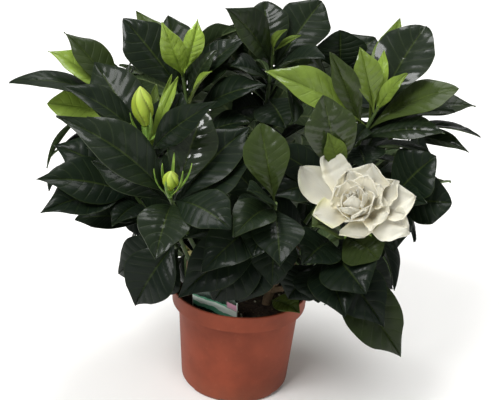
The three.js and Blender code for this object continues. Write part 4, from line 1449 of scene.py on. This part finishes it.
def calyx_lobes(row, foot, axis):
    """The green lobes that stand round a calyx, each drawn a little different"""
    side = square_to(axis, RIGHT)
    count = int(row["lobes"])
    draw = Lottery(count * 41).draw
    for i in range(count):
        turn = LOBE_TURN + 2 * math.pi * i / count + draw(-0.2, 0.2)
        out = Matrix.Rotation(turn, 3, axis) @ side
        spread = draw(row["low"], row["high"])
        way = axis * math.cos(spread) + out * math.sin(spread)
        base = foot + axis * (row["tube"] - row["drop"]) + out * (row["tube_r"] - LOBE_ROOT)
        tip = base + way * (row["lobe"] * draw(0.8, 1.1))
        yield Blade(
            base, tip, axis, row["wide"], -0.1 if row["bud"] else 0.05,
            root=LOBE_ROOT, thickness=LOBE_THICKNESS, outline=LOBE_OUTLINE,
        )


# The foot of a calyx in shares of its shoot's radius, and its side in those of its own
CUP_FOOT = ((0.9, 0), (1.05, 0.04), (1.2, 0.15))
CUP_SIDE = ((0.86, 0.5), (0.98, 0.85))
CUP_RIB = 0.07


def build_cup(bm, row, foot, axis):
    """The ribbed tube of a calyx"""
    cup = bmesh.new()
    wide, tall = row["tube_r"], row["tube"]
    lower = [(SHOOT_RADIUS * share, height * tall) for share, height in CUP_FOOT]
    upper = [(wide * share, height * tall) for share, height in CUP_SIDE]
    lathe(cup, [(0, 0), *lower, *upper, (wide, tall), (wide - 1, tall), (0, tall)], 48)
    for vert in cup.verts:
        ribs = CUP_RIB * math.cos(row["lobes"] * math.atan2(vert.co.y, vert.co.x))
        rib = 1 + ribs * smooth(0.1, 0.6, vert.co.z / tall)
        vert.co.x *= rib
        vert.co.y *= rib
    lay(cup.verts, foot, axis)
    join(bm, cup)


BUD_OUTLINE = (
    (0, 0), (0.3, 0), (0.46, 0.04), (0.55, 0.1), (0.74, 0.2), (0.95, 0.35), (1.0, 0.47),
    (0.97, 0.58), (0.9, 0.67), (0.72, 0.78), (0.5, 0.87), (0.28, 0.94), (0.1, 0.985), (0, 1),
)
BUD_STEPS = 60
BUD_WRAPS = 5
BUD_TWIST = 1.5
BUD_RIB = 0.34


def build_bud(bm, row, foot, axis):
    """A closed bud, whose rolled petals twist round it"""
    tall, wide = row["bud"], row["bud_r"]
    line = Bend(*((radius * wide, 0, height * tall) for radius, height in BUD_OUTLINE))
    places = [line.at(i / BUD_STEPS) for i in range(BUD_STEPS + 1)]
    lathe(bm, [(place.x, place.z) for place in places], BUD_STEPS)
    own = kept(bm.verts.layers.float_vector, "blade")
    for vert in bm.verts:
        rise = vert.co.z / tall
        turn = math.atan2(vert.co.y, vert.co.x) + BUD_TWIST * rise
        wrap = (BUD_WRAPS * turn / (2 * math.pi)) % 1
        fold = smooth(0, 0.16, wrap) - 0.75 * wrap
        rib = 1 + BUD_RIB * fold * max(0.0, math.sin(math.pi * rise)) ** 0.5
        # The fold is kept for the bud's look, which paints shade into the grooves
        vert[own] = (0.4 + fold, rise, 0)
        vert.co.x *= rib
        vert.co.y *= rib
    lay(bm.verts, foot, axis)


PETAL_FRILL = 0.035
FURLED_COUNT = 5


def flower_heart():
    calyx_top = calyx_place(next(rows(BUDS)))[2]
    return calyx_top + FLOWER_FACE * FLOWER_CORE_RADIUS


def over_flower(row, heart):
    """The place over the flower's plane that the photograph shows at a petal's tip"""
    near = seen(row["px"], row["py"], 0) - EYE
    height = (heart - EYE).dot(FLOWER_FACE) + row["rise"]
    return EYE + near * (height / near.dot(FLOWER_FACE))


def petal_of(row, heart):
    """A petal from its seat on the heart to the tip that the photograph shows"""
    tip = over_flower(row, heart)
    out = square_to(FLOWER_FACE, tip - heart)
    cup = PETAL_CUP * (1 + row["rise"] / 12)
    seat = heart + FLOWER_FACE * max(0.0, PETAL_CLIMB * (row["rise"] - 14))
    return Blade(
        seat + out * PETAL_ROOT, tip, FLOWER_FACE - out * cup, row["width"], -row["arch"],
        root=2.5, outline=pointed(PETAL_OUTLINE, row["point"], PETAL_POINT),
        curl=row["curl"], ruffle=row["ruffle"], tone=row["green"], soft=True,
        frill=PETAL_FRILL * row["ruffle"], phase=row["px"],
    )


def furled_petals(heart):
    """The small petals that are still rolled round the flower's middle"""
    draw = Lottery(FURLED_SEED).draw
    for i in range(FURLED_COUNT):
        turn = 2.4 * i + draw(-0.3, 0.3)
        out = Matrix.Rotation(turn, 3, FLOWER_FACE) @ square_to(FLOWER_FACE, RIGHT)
        base = heart + FLOWER_FACE * 7 + out * (1.4 + 0.25 * i)
        tip = heart + FLOWER_FACE * (25 - 0.5 * i + draw(-1, 1)) + out * (0.8 + 0.95 * i)
        yield Blade(
            base, tip, -out, 11 + 0.9 * i, -0.06 - 0.01 * i, root=2.5, fold=0.95,
            roll=draw(-25, 25), outline=PETAL_OUTLINE, curl=1.2, ruffle=1.3, soft=True,
            seed=70 + i,
        )


def build_heart(bm, heart):
    """The rounded seat of the petals"""
    ball = bmesh.new()
    bmesh.ops.create_uvsphere(ball, u_segments=32, v_segments=20, radius=FLOWER_CORE_RADIUS)
    for vert in ball.verts:
        vert.co *= 1 + 0.05 * field(vert.co / 3)
        vert.co.z = 1.7 * vert.co.z + 0.7 * FLOWER_CORE_RADIUS
    lay(ball.verts, heart, FLOWER_FACE)
    join(bm, ball)


def add_light(name, place, size, power):
    light = bpy.data.lights.new(name, "AREA")
    light.shape = "SQUARE"
    light.size = size
    light.energy = power
    lamp = bpy.data.objects.new(name, light)
    place = Vector(place)
    turn = (LIGHT_AIM - place).to_track_quat("-Z", "Y")
    lamp.matrix_world = Matrix.LocRotScale(place, turn, None)
    bpy.context.scene.collection.objects.link(lamp)


def add_camera(scene):
    """The photograph's view"""
    camera = bpy.data.cameras.new("camera")
    camera.sensor_width = SENSOR
    camera.lens = SENSOR * EYE_SCALE / PHOTO_SIZE[0]
    camera.clip_end = 50
    view = bpy.data.objects.new("camera", camera)
    tilt = Matrix.Rotation(math.pi / 2 - EYE_PITCH, 4, "X")
    lean = Matrix.Rotation(EYE_LEAN, 4, "Z")
    view.matrix_world = Matrix.Translation(EYE / 1000) @ tilt @ lean
    scene.collection.objects.link(view)
    scene.camera = view


heart = flower_heart()
plan_fillers(shoots, [petal_of(row, heart) for row in rows(PETALS)])


# Settings that a user would change


def colour_setting(name, description, colour):
    return bpy.props.FloatVectorProperty(
        name=name, description=description, subtype="COLOR", min=0, max=1,
        default=linear(colour),
    )


def length_setting(name, description, low, high, default):
    return bpy.props.FloatProperty(
        name=name, description=description, unit="LENGTH", min=low, max=high,
        precision=4, default=default,
    )


class GardeniaPlant(bpy.types.PropertyGroup):
    leaf_dark: colour_setting("Old Leaf", "Colour of the oldest leaves", (9, 19, 17))
    leaf_fresh: colour_setting("Young Leaf", "Colour of the youngest leaves", (142, 168, 66))
    bark: colour_setting("Bark", "Colour of the woody stems", (112, 92, 70))
    leaf_wall: length_setting(
        "Leaf Thickness", "Thickness of a leaf", 0.0003, 0.001, 0.0006)
    quilting: length_setting(
        "Quilting", "How far a leaf swells between its side veins", 0, 0.001, 0.0007)


class GardeniaFlower(bpy.types.PropertyGroup):
    petal: colour_setting("Petal", "Colour of the open petals", (203, 198, 177))
    # Creamy tint near the heart, partly the petals' own colour and partly painted light: it is
    # lighter than the open petals, to offset the shade among the heart's petals
    petal_base_and_painted_light: colour_setting(
        "Petal Base", "Colour of the petals near the heart", (226, 212, 172))
    bud: colour_setting("Bud", "Colour of the closed buds", (166, 188, 62))
    petal_wall: length_setting(
        "Petal Thickness", "Thickness of a petal", 0.0003, 0.0015, 0.0005)
    ruffle: length_setting(
        "Ruffle", "Height of the waves along a petal's margin", 0, 0.003, 0.0011)


class GardeniaPot(bpy.types.PropertyGroup):
    plastic: colour_setting("Pot", "Colour of the pot's plastic", (139, 65, 42))
    soil: colour_setting("Soil", "Colour of the damp potting soil", (52, 40, 31))
    card: colour_setting("Label", "Ground colour of the care label", (18, 50, 36))
    clods: length_setting("Clods", "Height of the clods in the soil's top", 0, 0.004, 0.0022)


class GardeniaStage(bpy.types.PropertyGroup):
    floor: colour_setting("Floor", "Colour of the floor", (246, 245, 243))
    key_power: bpy.props.FloatProperty(
        name="Window Light", description="Power of the soft light from the upper left",
        unit="POWER", min=0, default=162,
    )
    fill_power: bpy.props.FloatProperty(
        name="Fill Light", description="Power of the soft light from the right",
        unit="POWER", min=0, default=9,
    )
    sky: bpy.props.FloatProperty(
        name="Room Light", description="Strength of the even light from all round",
        min=0, default=0.35,
    )


# Looks


def side_veins(look, rise, edge):
    """How far a place on a leaf is from a side vein, up to a half"""
    s = (rise - LEAF_OUTLINE[0]) / (1 - LEAF_OUTLINE[0])
    phase = s * VEIN_PAIRS - edge * VEIN_SWEEP
    return look.node("ShaderNodeMath", {"operation": "PINGPONG"}, {0: phase, 1: 0.5})


def leaf_top_look(plant):
    look = Look("Gardenia Leaf", {"Coat Roughness": 0.14, "IOR": 1.4, "Specular IOR Level": 0.11})
    place, rise, tone = look.own("blade")
    shine = look.node("ShaderNodeAttribute", {"attribute_name": "shine"}, output="Fac")
    edge = abs(place)
    blotch = look.noise(45, 4)
    near = side_veins(look, rise, edge)
    veins = look.step(near, 0.02, 0.11, 1, 0) * look.step(edge, 0.8, 1, 1, 0)
    midrib = look.step(edge, 0.01, 0.06, 1, 0)
    dark, fresh = tuple(plant.leaf_dark), tuple(plant.leaf_fresh)
    stops = [
        (at, tuple(d + (f - d) * share for d, f in zip(dark, fresh)))
        for at, share in ((0, 0), (0.2, 0.03), (0.45, 0.14), (0.75, 0.5), (1, 1))
    ]
    ground = look.ramp(tone + (blotch - 0.5) * (0.12 + tone * 0.4), stops)
    pale = look.mix(0.22, ground, fresh)
    colour = look.mix(veins * 0.07, ground, pale)
    colour = look.mix(midrib * 0.3, colour, pale)
    colour = look.mix(look.step(edge, 0.95, 1, 0, 0.15), colour, pale)
    # Painted shade: below 0.25 m the leaves are mixed towards a darker old-leaf colour, 0.45 of
    # the way at 0.13 m and under, in place of the shadow that the crown above casts
    painted_crown_shade = look.step(look.height(), 0.13, 0.25, 0.45, 0)
    colour = look.mix(painted_crown_shade, colour, times(dark, 0.4))
    relief = look.noise(900, 2) * 0.12 - veins * 0.5 - midrib * 0.5 + blotch * 0.6
    relief = relief + look.noise(150, 2) * shine * 2.6
    roughness = 0.36 + blotch * 0.12 + veins * 0.1 - shine * 0.12
    return look.done(colour, roughness, (relief, 0.0005, 0.8), shine * 0.7)


def leaf_under_look():
    look = Look("Gardenia Leaf Underside", {"Coat Weight": 0.0, "IOR": 1.4})
    place, rise, tone = look.own("blade")
    edge = abs(place)
    veins = look.step(side_veins(look, rise, edge), 0.0, 0.1, 1, 0)
    midrib = look.step(edge, 0.03, 0.1, 1, 0)
    ground = look.ramp(tone + look.noise(60) * 0.1, [
        (0, linear((62, 80, 54))),
        (0.4, linear((98, 120, 72))),
        (1, linear((170, 190, 105))),
    ])
    colour = look.mix(veins * 0.25 + midrib * 0.5, ground, linear((150, 164, 110)))
    relief = veins * 0.5 + midrib + look.noise(700) * 0.1
    return look.done(colour, 0.5 + look.noise(200) * 0.15, (relief, 0.0005, 0.8))


def green_stem_look():
    look = Look("Green Stem", {"IOR": 1.4})
    shades = [(0.3, linear((36, 52, 26))), (0.7, linear((78, 98, 44)))]
    return look.grained(look.noise(120, 3, stretch=(1, 1, 0.2)), shades, 0.45, 0.2, 0.0006, 0.6)


def bark_look(plant):
    look = Look("Bark", {"IOR": 1.4})
    grain = look.noise(140, 5, 0.65, stretch=(1, 1, 0.25))
    pores = look.step(look.cells(420), 0.1, 0.35, 1, 0)
    bark = tuple(plant.bark)
    colour = look.ramp(grain, [(0.3, times(bark, 0.35)), (0.55, bark), (0.75, times(bark, 1.6))])
    colour = look.mix(pores * 0.4, colour, linear((150, 132, 104)))
    return look.done(colour, 0.8 + grain * 0.15, (grain + pores * 0.4, 0.0012, 0.9))


def petal_look(flower):
    look = Look("Petal", {
        "Subsurface Weight": 0.6, "Subsurface Scale": 0.009, "Subsurface Radius": (1, 0.9, 0.75),
        "IOR": 1.4, "Specular IOR Level": 0.3,
    })
    place, rise, tone = look.own("blade")
    drawn_out = {0: place * 14, 1: rise * 1.6, 2: tone * 9}
    lines = look.node("ShaderNodeTexNoise", None, {
        "Vector": look.node("ShaderNodeCombineXYZ", None, drawn_out), "Scale": 1.5, "Detail": 3,
    })
    petal, base = tuple(flower.petal), tuple(flower.petal_base_and_painted_light)
    # Partly painted light: the petals turn to the lighter creamy base towards their seat, where
    # the heart's petals shade each other, and in random patches
    colour = look.mix(look.step(rise, 0.1, 0.6, 1, 0), petal, base)
    colour = look.mix(look.step(look.noise(60), 0.45, 0.8, 0, 0.25), colour, base)
    colour = look.mix(lines * 0.14, colour, linear((214, 205, 178)))
    tinge = tone * look.step(abs(place), 0.3, 1) * look.step(rise, 0.2, 0.9)
    colour = look.mix(tinge * 0.6, colour, linear((206, 208, 124)))
    return look.done(colour, 0.5 + lines * 0.12, (lines, 0.0004, 0.6))


def bud_look(flower):
    look = Look("Bud", {"Subsurface Weight": 0.1, "Subsurface Scale": 0.003, "IOR": 1.42})
    rib, rise, _ = look.own("blade")
    bud = tuple(flower.bud)
    # Painted shade: the grooves between the twisted petals are darkened to a quarter of the bud's
    # colour, fading out up the ridges
    colour = look.mix(look.step(rib, 0.3, 1.15), times(bud, 0.26), bud)
    colour = look.mix(look.step(rise, 0.55, 1, 0, 0.25), colour, linear((206, 216, 130)))
    grain = look.noise(260, 3, stretch=(1, 1, 0.3))
    colour = look.mix(grain * 0.25, colour, times(bud, 0.6))
    return look.done(colour, 0.4 + grain * 0.15, (grain, 0.0004, 0.5))


def calyx_look():
    look = Look("Calyx", {"Subsurface Weight": 0.05, "Subsurface Scale": 0.002, "IOR": 1.42})
    shades = [
        (0.25, linear((78, 112, 42))),
        (0.6, linear((124, 156, 66))),
        (0.9, linear((158, 184, 92))),
    ]
    return look.grained(look.noise(220, 3, stretch=(1, 1, 0.25)), shades, 0.42, 0.15, 0.0005, 0.6)


def yellowed_look():
    look = Look("Yellowed Leaf", {"IOR": 1.4})
    place, rise, _ = look.own("blade")
    blotch = look.noise(160, 4)
    colour = look.ramp(blotch, [
        (0.25, linear((168, 146, 82))),
        (0.45, linear((214, 204, 132))),
        (0.8, linear((236, 230, 176))),
    ])
    colour = look.mix(look.step(rise, 0.8, 1, 0, 0.6), colour, linear((128, 92, 52)))
    midrib = look.step(abs(place), 0.03, 0.12, 0.5, 0)
    colour = look.mix(midrib, colour, linear((236, 228, 176)))
    return look.done(colour, 0.55 + blotch * 0.2, (blotch, 0.0006, 0.7))


def pot_look(pot):
    look = Look("Pot Plastic", {"IOR": 1.46, "Specular IOR Level": 0.25})
    cloud = look.noise(26, 4)
    scuffs = look.step(look.noise(150, 5, 0.7), 0.58, 0.76)
    streaks = look.noise(60, 3, stretch=(1, 1, 0.06))
    plastic = tuple(pot.plastic)
    dull = times(plastic, 0.72)
    colour = look.mix(look.step(cloud, 0.35, 0.7), plastic, dull)
    colour = look.mix(scuffs * 0.09, colour, linear((206, 160, 136)))
    colour = look.mix(look.step(streaks, 0.55, 0.75, 0, 0.18), colour, dull)
    earth = look.step(look.height(), 0.004, 0.03, 0.35, 0) * look.noise(80, 4)
    colour = look.mix(earth, colour, linear((96, 74, 58)))
    relief = look.noise(700, 2) * 0.5 + scuffs * 0.3
    return look.done(colour, 0.5 + cloud * 0.12 + scuffs * 0.15, (relief, 0.0002, 0.6))


def soil_look(pot):
    look = Look("Potting Soil", {"IOR": 1.35})
    lumps = look.noise(260, 6, 0.7)
    bits = look.step(look.noise(330, 2), 0.66, 0.7)
    soil = tuple(pot.soil)
    colour = look.ramp(lumps, [(0.3, times(soil, 0.3)), (0.55, soil), (0.8, times(soil, 2.2))])
    colour = look.mix(bits * 0.5, colour, linear((142, 122, 96)))
    return look.done(colour, 0.85 + lumps * 0.12, (lumps, 0.002, 1.0))


def fleck_look():
    look = Look("Perlite", {"IOR": 1.4})
    shades = [(0.3, linear((150, 140, 122))), (0.7, linear((216, 210, 196)))]
    return look.grained(look.noise(900, 3), shades, 0.8, 0.1, 0.0004, 0.8)


# The label's bands: where each starts and ends up the card, and its colour
BANDS = (
    (0.66, 0.84, (96, 164, 132)),
    (0.73, 0.81, (222, 236, 226)),
    (0.50, 0.52, (214, 150, 160)),
)


def label_look(pot):
    """A care card with plain bands of colour and no words"""
    look = Look("Label Card", {"Coat Weight": 0.4, "Coat Roughness": 0.12, "IOR": 1.5})
    across, rise, _ = look.own("blade")
    cloud = look.noise(70, 3)
    card = tuple(pot.card)
    colour = look.mix(look.step(cloud, 0.3, 0.7), card, times(card, 0.6))
    slant = rise + across * 0.05 + (cloud - 0.5) * 0.12
    for low, high, band in BANDS:
        inside = look.step(slant, low - 0.01, low) * look.step(slant, high, high + 0.01, 1, 0)
        colour = look.mix(inside, colour, linear(band))
    corner = look.step(across, 0.5, 0.6) * look.step(slant, 0.81, 0.83)
    corner = corner * look.step(slant, 0.9, 0.92, 1, 0)
    colour = look.mix(corner * 0.8, colour, linear((206, 150, 172)))
    colour = look.mix(look.step(abs(across), 0.965, 0.98), colour, linear((190, 200, 192)))
    return look.done(colour, 0.22 + cloud * 0.12, (look.noise(40, 2), 0.0006, 0.3))


def floor_look(stage):
    look = Look("Pale Floor", {"Specular IOR Level": 0.1})
    cloud = look.noise(3, 2)
    floor = tuple(stage.floor)
    return look.done(look.mix(cloud * 0.06, floor, times(floor, 0.92)), 0.7 + cloud * 0.1)


# Operators, one for each group of pieces


class GARDENIA_OT_pot(bpy.types.Operator):
    """Build the nursery pot with its stacking band and drainage notches"""

    bl_idname = "gardenia.pot"
    bl_label = "Build Pot"

    def execute(self, context):
        bm = bmesh.new()
        body = POT_CORNER_RADIUS
        rim = BODY_RADIUS + BAND_STEP
        lathe(bm, [
            (0, 0.9), (NOTCH_REACH - 8, 0.9), (NOTCH_REACH - 6, 0), (BASE_RADIUS, 0),
            (BASE_RADIUS + 2.2, 0.5), (BASE_RADIUS + 3.4, 1.9), (body - 0.4, 4.2),
            *wall_line(body, 7, BODY_RADIUS, BAND_FOOT, 9),
            (BODY_RADIUS + 0.4, BAND_FOOT + 0.35), (rim - 0.8, BAND_FOOT + 0.7),
            (rim - 0.2, BAND_FOOT + 1.0), (rim, BAND_FOOT + 1.8),
            *wall_line(rim + 0.05, BAND_FOOT + 4, RIM_RADIUS - 0.5, POT_HEIGHT - 1.2, 5),
            (RIM_RADIUS - 0.55, POT_HEIGHT - 0.5), (RIM_RADIUS - 1, POT_HEIGHT),
            (RIM_RADIUS - 2, POT_HEIGHT), (RIM_RADIUS - 2.6, POT_HEIGHT - 0.3),
            (RIM_RADIUS - POT_WALL - 1, POT_HEIGHT - 1), (rim - POT_WALL, BAND_FOOT + 3),
            (BODY_RADIUS - POT_WALL, BAND_FOOT + 0.8),
            *wall_line(BODY_RADIUS - POT_WALL, BAND_FOOT - 1, body - POT_WALL, 8, 4),
            (BASE_RADIUS, 2.4), (0, 2.4),
        ], 144)
        cut_notches(bm)
        look = pot_look(context.scene.gardenia_pot)
        add_piece("pot_shell", bm, [look], "pot", 40)
        return {"FINISHED"}


class GARDENIA_OT_soil(bpy.types.Operator):
    """Build the potting soil with its clods, crumbs and pale flecks"""

    bl_idname = "gardenia.soil"
    bl_label = "Build Soil"

    def execute(self, context):
        settings = context.scene.gardenia_pot
        bm = bmesh.new()
        build_bed(bm, settings.clods * 1000)
        scatter(bm, 130, (0.7, 2.0), 0, CRUMB_SEED)
        scatter(bm, 34, (0.6, 1.5), 1, FLECK_SEED)
        looks = [soil_look(settings), fleck_look()]
        add_piece("soil_bed", bm, looks, "soil", 180)
        return {"FINISHED"}


class GARDENIA_OT_label(bpy.types.Operator):
    """Build the plain care label that stands in the soil"""

    bl_idname = "gardenia.label"
    bl_label = "Build Label"

    def execute(self, context):
        bm = bmesh.new()
        build_card(bm)
        look = label_look(context.scene.gardenia_pot)
        add_piece("care_label", bm, [look], "plant_label", 30)
        return {"FINISHED"}


class GARDENIA_OT_wood(bpy.types.Operator):
    """Build the woody stems with their branches, and the cut twig"""

    bl_idname = "gardenia.wood"
    bl_label = "Build Wood"

    def execute(self, context):
        look = bark_look(context.scene.gardenia_plant)
        for cutting in CUTTINGS:
            bm = bmesh.new()
            tube(bm, trunk_line(cutting), knotty(TRUNK_RADIUS, 0.3), 60, 24)
            for owner, line in branches:
                if owner == cutting:
                    tube(bm, line, knotty(BRANCH_RADIUS, 0.5), 30, 16)
            add_piece(f"bark_{cutting}", bm, [look], f"woody_stem_{cutting}")
        bm = bmesh.new()
        tube(bm, twig_line(), knotty(BRANCH_RADIUS, 0.2), 40, 16)
        add_piece("bark_twig", bm, [look], "cut_twig")
        return {"FINISHED"}


class GARDENIA_OT_leaves(bpy.types.Operator):
    """Build every leafy shoot, with its leaves on its green stem"""

    bl_idname = "gardenia.leaves"
    bl_label = "Build Leafy Shoots"

    def execute(self, context):
        plant = context.scene.gardenia_plant
        looks = [leaf_top_look(plant), leaf_under_look(), green_stem_look()]
        for shoot in shoots.values():
            bm = bmesh.new()
            for leaf in shoot.leaves:
                add_leaf(bm, leaf, plant)
            thicken(bm, plant.leaf_wall * 1000, 1)
            tube(bm, shoot.line, tapered(shoot.radius), 12 if shoot.young else 30, 14, 2)
            add_piece(f"leafy_{shoot.name}", bm, looks, f"shoot_{shoot.name}")
        return {"FINISHED"}


class GARDENIA_OT_low_leaves(bpy.types.Operator):
    """Build the leaf low on the right trunk and the yellowed one on the twig"""

    bl_idname = "gardenia.low_leaves"
    bl_label = "Build Low Leaves"

    def execute(self, context):
        plant = context.scene.gardenia_plant
        looks = [leaf_top_look(plant), leaf_under_look()]
        bm = bmesh.new()
        foot = trunk_line("right").at(LOW_LEAF_AT)
        tip = seen(*LOW_LEAF_TIP)
        out = tip - foot
        out.z = 0
        base = foot + out.normalized() * (TRUNK_RADIUS + 4 * GAP)
        face = Vector((0, -0.5, 0.87))
        add_leaf(bm, Blade(base, tip, face, 26, 0.14, tone=0.62, shine=0.6), plant)
        thicken(bm, plant.leaf_wall * 1000, 1)
        add_piece("low_leaf", bm, looks, "basal_leaf")
        bm = bmesh.new()
        twig = twig_line()
        foot = twig.at(1) + twig.way(1) * (GAP + 0.3)
        add_leaf(bm, Blade(foot, seen(*YELLOWED_TIP), Vector((0, -1, 0)), 11, 0.1), plant)
        thicken(bm, plant.leaf_wall * 1000, 0)
        add_piece("withered_leaf", bm, [yellowed_look()], "yellowed_leaf")
        return {"FINISHED"}


class GARDENIA_OT_buds(bpy.types.Operator):
    """Build the calyces with their long lobes, and the twisted buds in them"""

    bl_idname = "gardenia.buds"
    bl_label = "Build Buds"

    def execute(self, context):
        green = calyx_look()
        closed = bud_look(context.scene.gardenia_flower)
        for row in rows(BUDS):
            foot, axis, top = calyx_place(row)
            bm = bmesh.new()
            for lobe in calyx_lobes(row, foot, axis):
                sheet(bm, lobe, 24, 6, plain)
            thicken(bm, LOBE_THICKNESS, 0)
            build_cup(bm, row, foot, axis)
            name = row["name"]
            add_piece(f"sepals_{name}", bm, [green], f"calyx_{name}")
            if row["bud"]:
                bm = bmesh.new()
                build_bud(bm, row, top, axis)
                add_piece(f"closed_{name}", bm, [closed], f"bud_{name}", 80)
        return {"FINISHED"}


class GARDENIA_OT_flower(bpy.types.Operator):
    """Build the open double flower, petal by petal"""

    bl_idname = "gardenia.flower"
    bl_label = "Build Flower"

    def execute(self, context):
        flower = context.scene.gardenia_flower
        relief = ruffled(flower.ruffle * 1000)
        bm = bmesh.new()
        for seed, row in enumerate(rows(PETALS), 1):
            petal = petal_of(row, heart)
            petal.seed = seed
            sheet(bm, petal, 36, 28, relief)
        for petal in furled_petals(heart):
            sheet(bm, petal, 20, 16, relief)
        thicken(bm, flower.petal_wall * 1000, 0)
        build_heart(bm, heart)
        add_piece("petals", bm, [petal_look(flower)], "flower_petals", 70)
        return {"FINISHED"}


class GARDENIA_OT_stage(bpy.types.Operator):
    """Lay the pale floor and set the soft lights and the camera"""

    bl_idname = "gardenia.stage"
    bl_label = "Build Stage"

    def execute(self, context):
        stage = context.scene.gardenia_stage
        bm = bmesh.new()
        bmesh.ops.create_grid(bm, x_segments=2, y_segments=2, size=FLOOR_REACH)
        mesh = bpy.data.meshes.new("floor")
        bm.to_mesh(mesh)
        bm.free()
        mesh.materials.append(floor_look(stage))
        floor = bpy.data.objects.new("floor", mesh)
        context.scene.collection.objects.link(floor)
        floor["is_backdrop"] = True
        powers = stage.key_power, stage.fill_power, stage.fill_power * TOP_SHARE
        for (name, (place, size)), power in zip(LIGHTS.items(), powers):
            add_light(name, place, size, power)
        world = bpy.data.worlds.new("Soft Room")
        world.use_nodes = True
        ground = world.node_tree.nodes["Background"]
        ground.inputs["Color"].default_value = (1, 1, 1, 1)
        ground.inputs["Strength"].default_value = stage.sky
        context.scene.world = world
        context.scene.view_settings.view_transform = "Standard"
        add_camera(context.scene)
        return {"FINISHED"}


class GARDENIA_PT_builder(bpy.types.Panel):
    bl_idname = "GARDENIA_PT_builder"
    bl_label = "Potted Gardenia"
    bl_space_type = "VIEW_3D"
    bl_region_type = "UI"
    bl_category = "Gardenia"

    def draw(self, context):
        scene = context.scene
        for step in STEPS:
            self.layout.operator(step.bl_idname)
        for name, group in SETTINGS.items():
            box = self.layout.box()
            box.label(text=group.__name__.replace("Gardenia", ""))
            for setting in group.__annotations__:
                box.prop(getattr(scene, name), setting)


STEPS = (
    GARDENIA_OT_pot,
    GARDENIA_OT_soil,
    GARDENIA_OT_label,
    GARDENIA_OT_wood,
    GARDENIA_OT_leaves,
    GARDENIA_OT_low_leaves,
    GARDENIA_OT_buds,
    GARDENIA_OT_flower,
    GARDENIA_OT_stage,
)
SETTINGS = {
    "gardenia_plant": GardeniaPlant,
    "gardenia_flower": GardeniaFlower,
    "gardenia_pot": GardeniaPot,
    "gardenia_stage": GardeniaStage,
}


def register():
    for name, group in SETTINGS.items():
        bpy.utils.register_class(group)
        setattr(bpy.types.Scene, name, bpy.props.PointerProperty(type=group))
    for entry in (*STEPS, GARDENIA_PT_builder):
        bpy.utils.register_class(entry)


def unregister():
    for entry in reversed((*STEPS, GARDENIA_PT_builder)):
        bpy.utils.unregister_class(entry)
    for name, group in SETTINGS.items():
        delattr(bpy.types.Scene, name)
        bpy.utils.unregister_class(group)


def main():
    register()
    for step in STEPS:
        group, name = step.bl_idname.split(".")
        getattr(getattr(bpy.ops, group), name)()
    boxes = {"cad": cad_box, "visual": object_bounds()}
    {key: [list(corner) for corner in box] for key, box in boxes.items()}


if __name__ == "__main__":
    main()
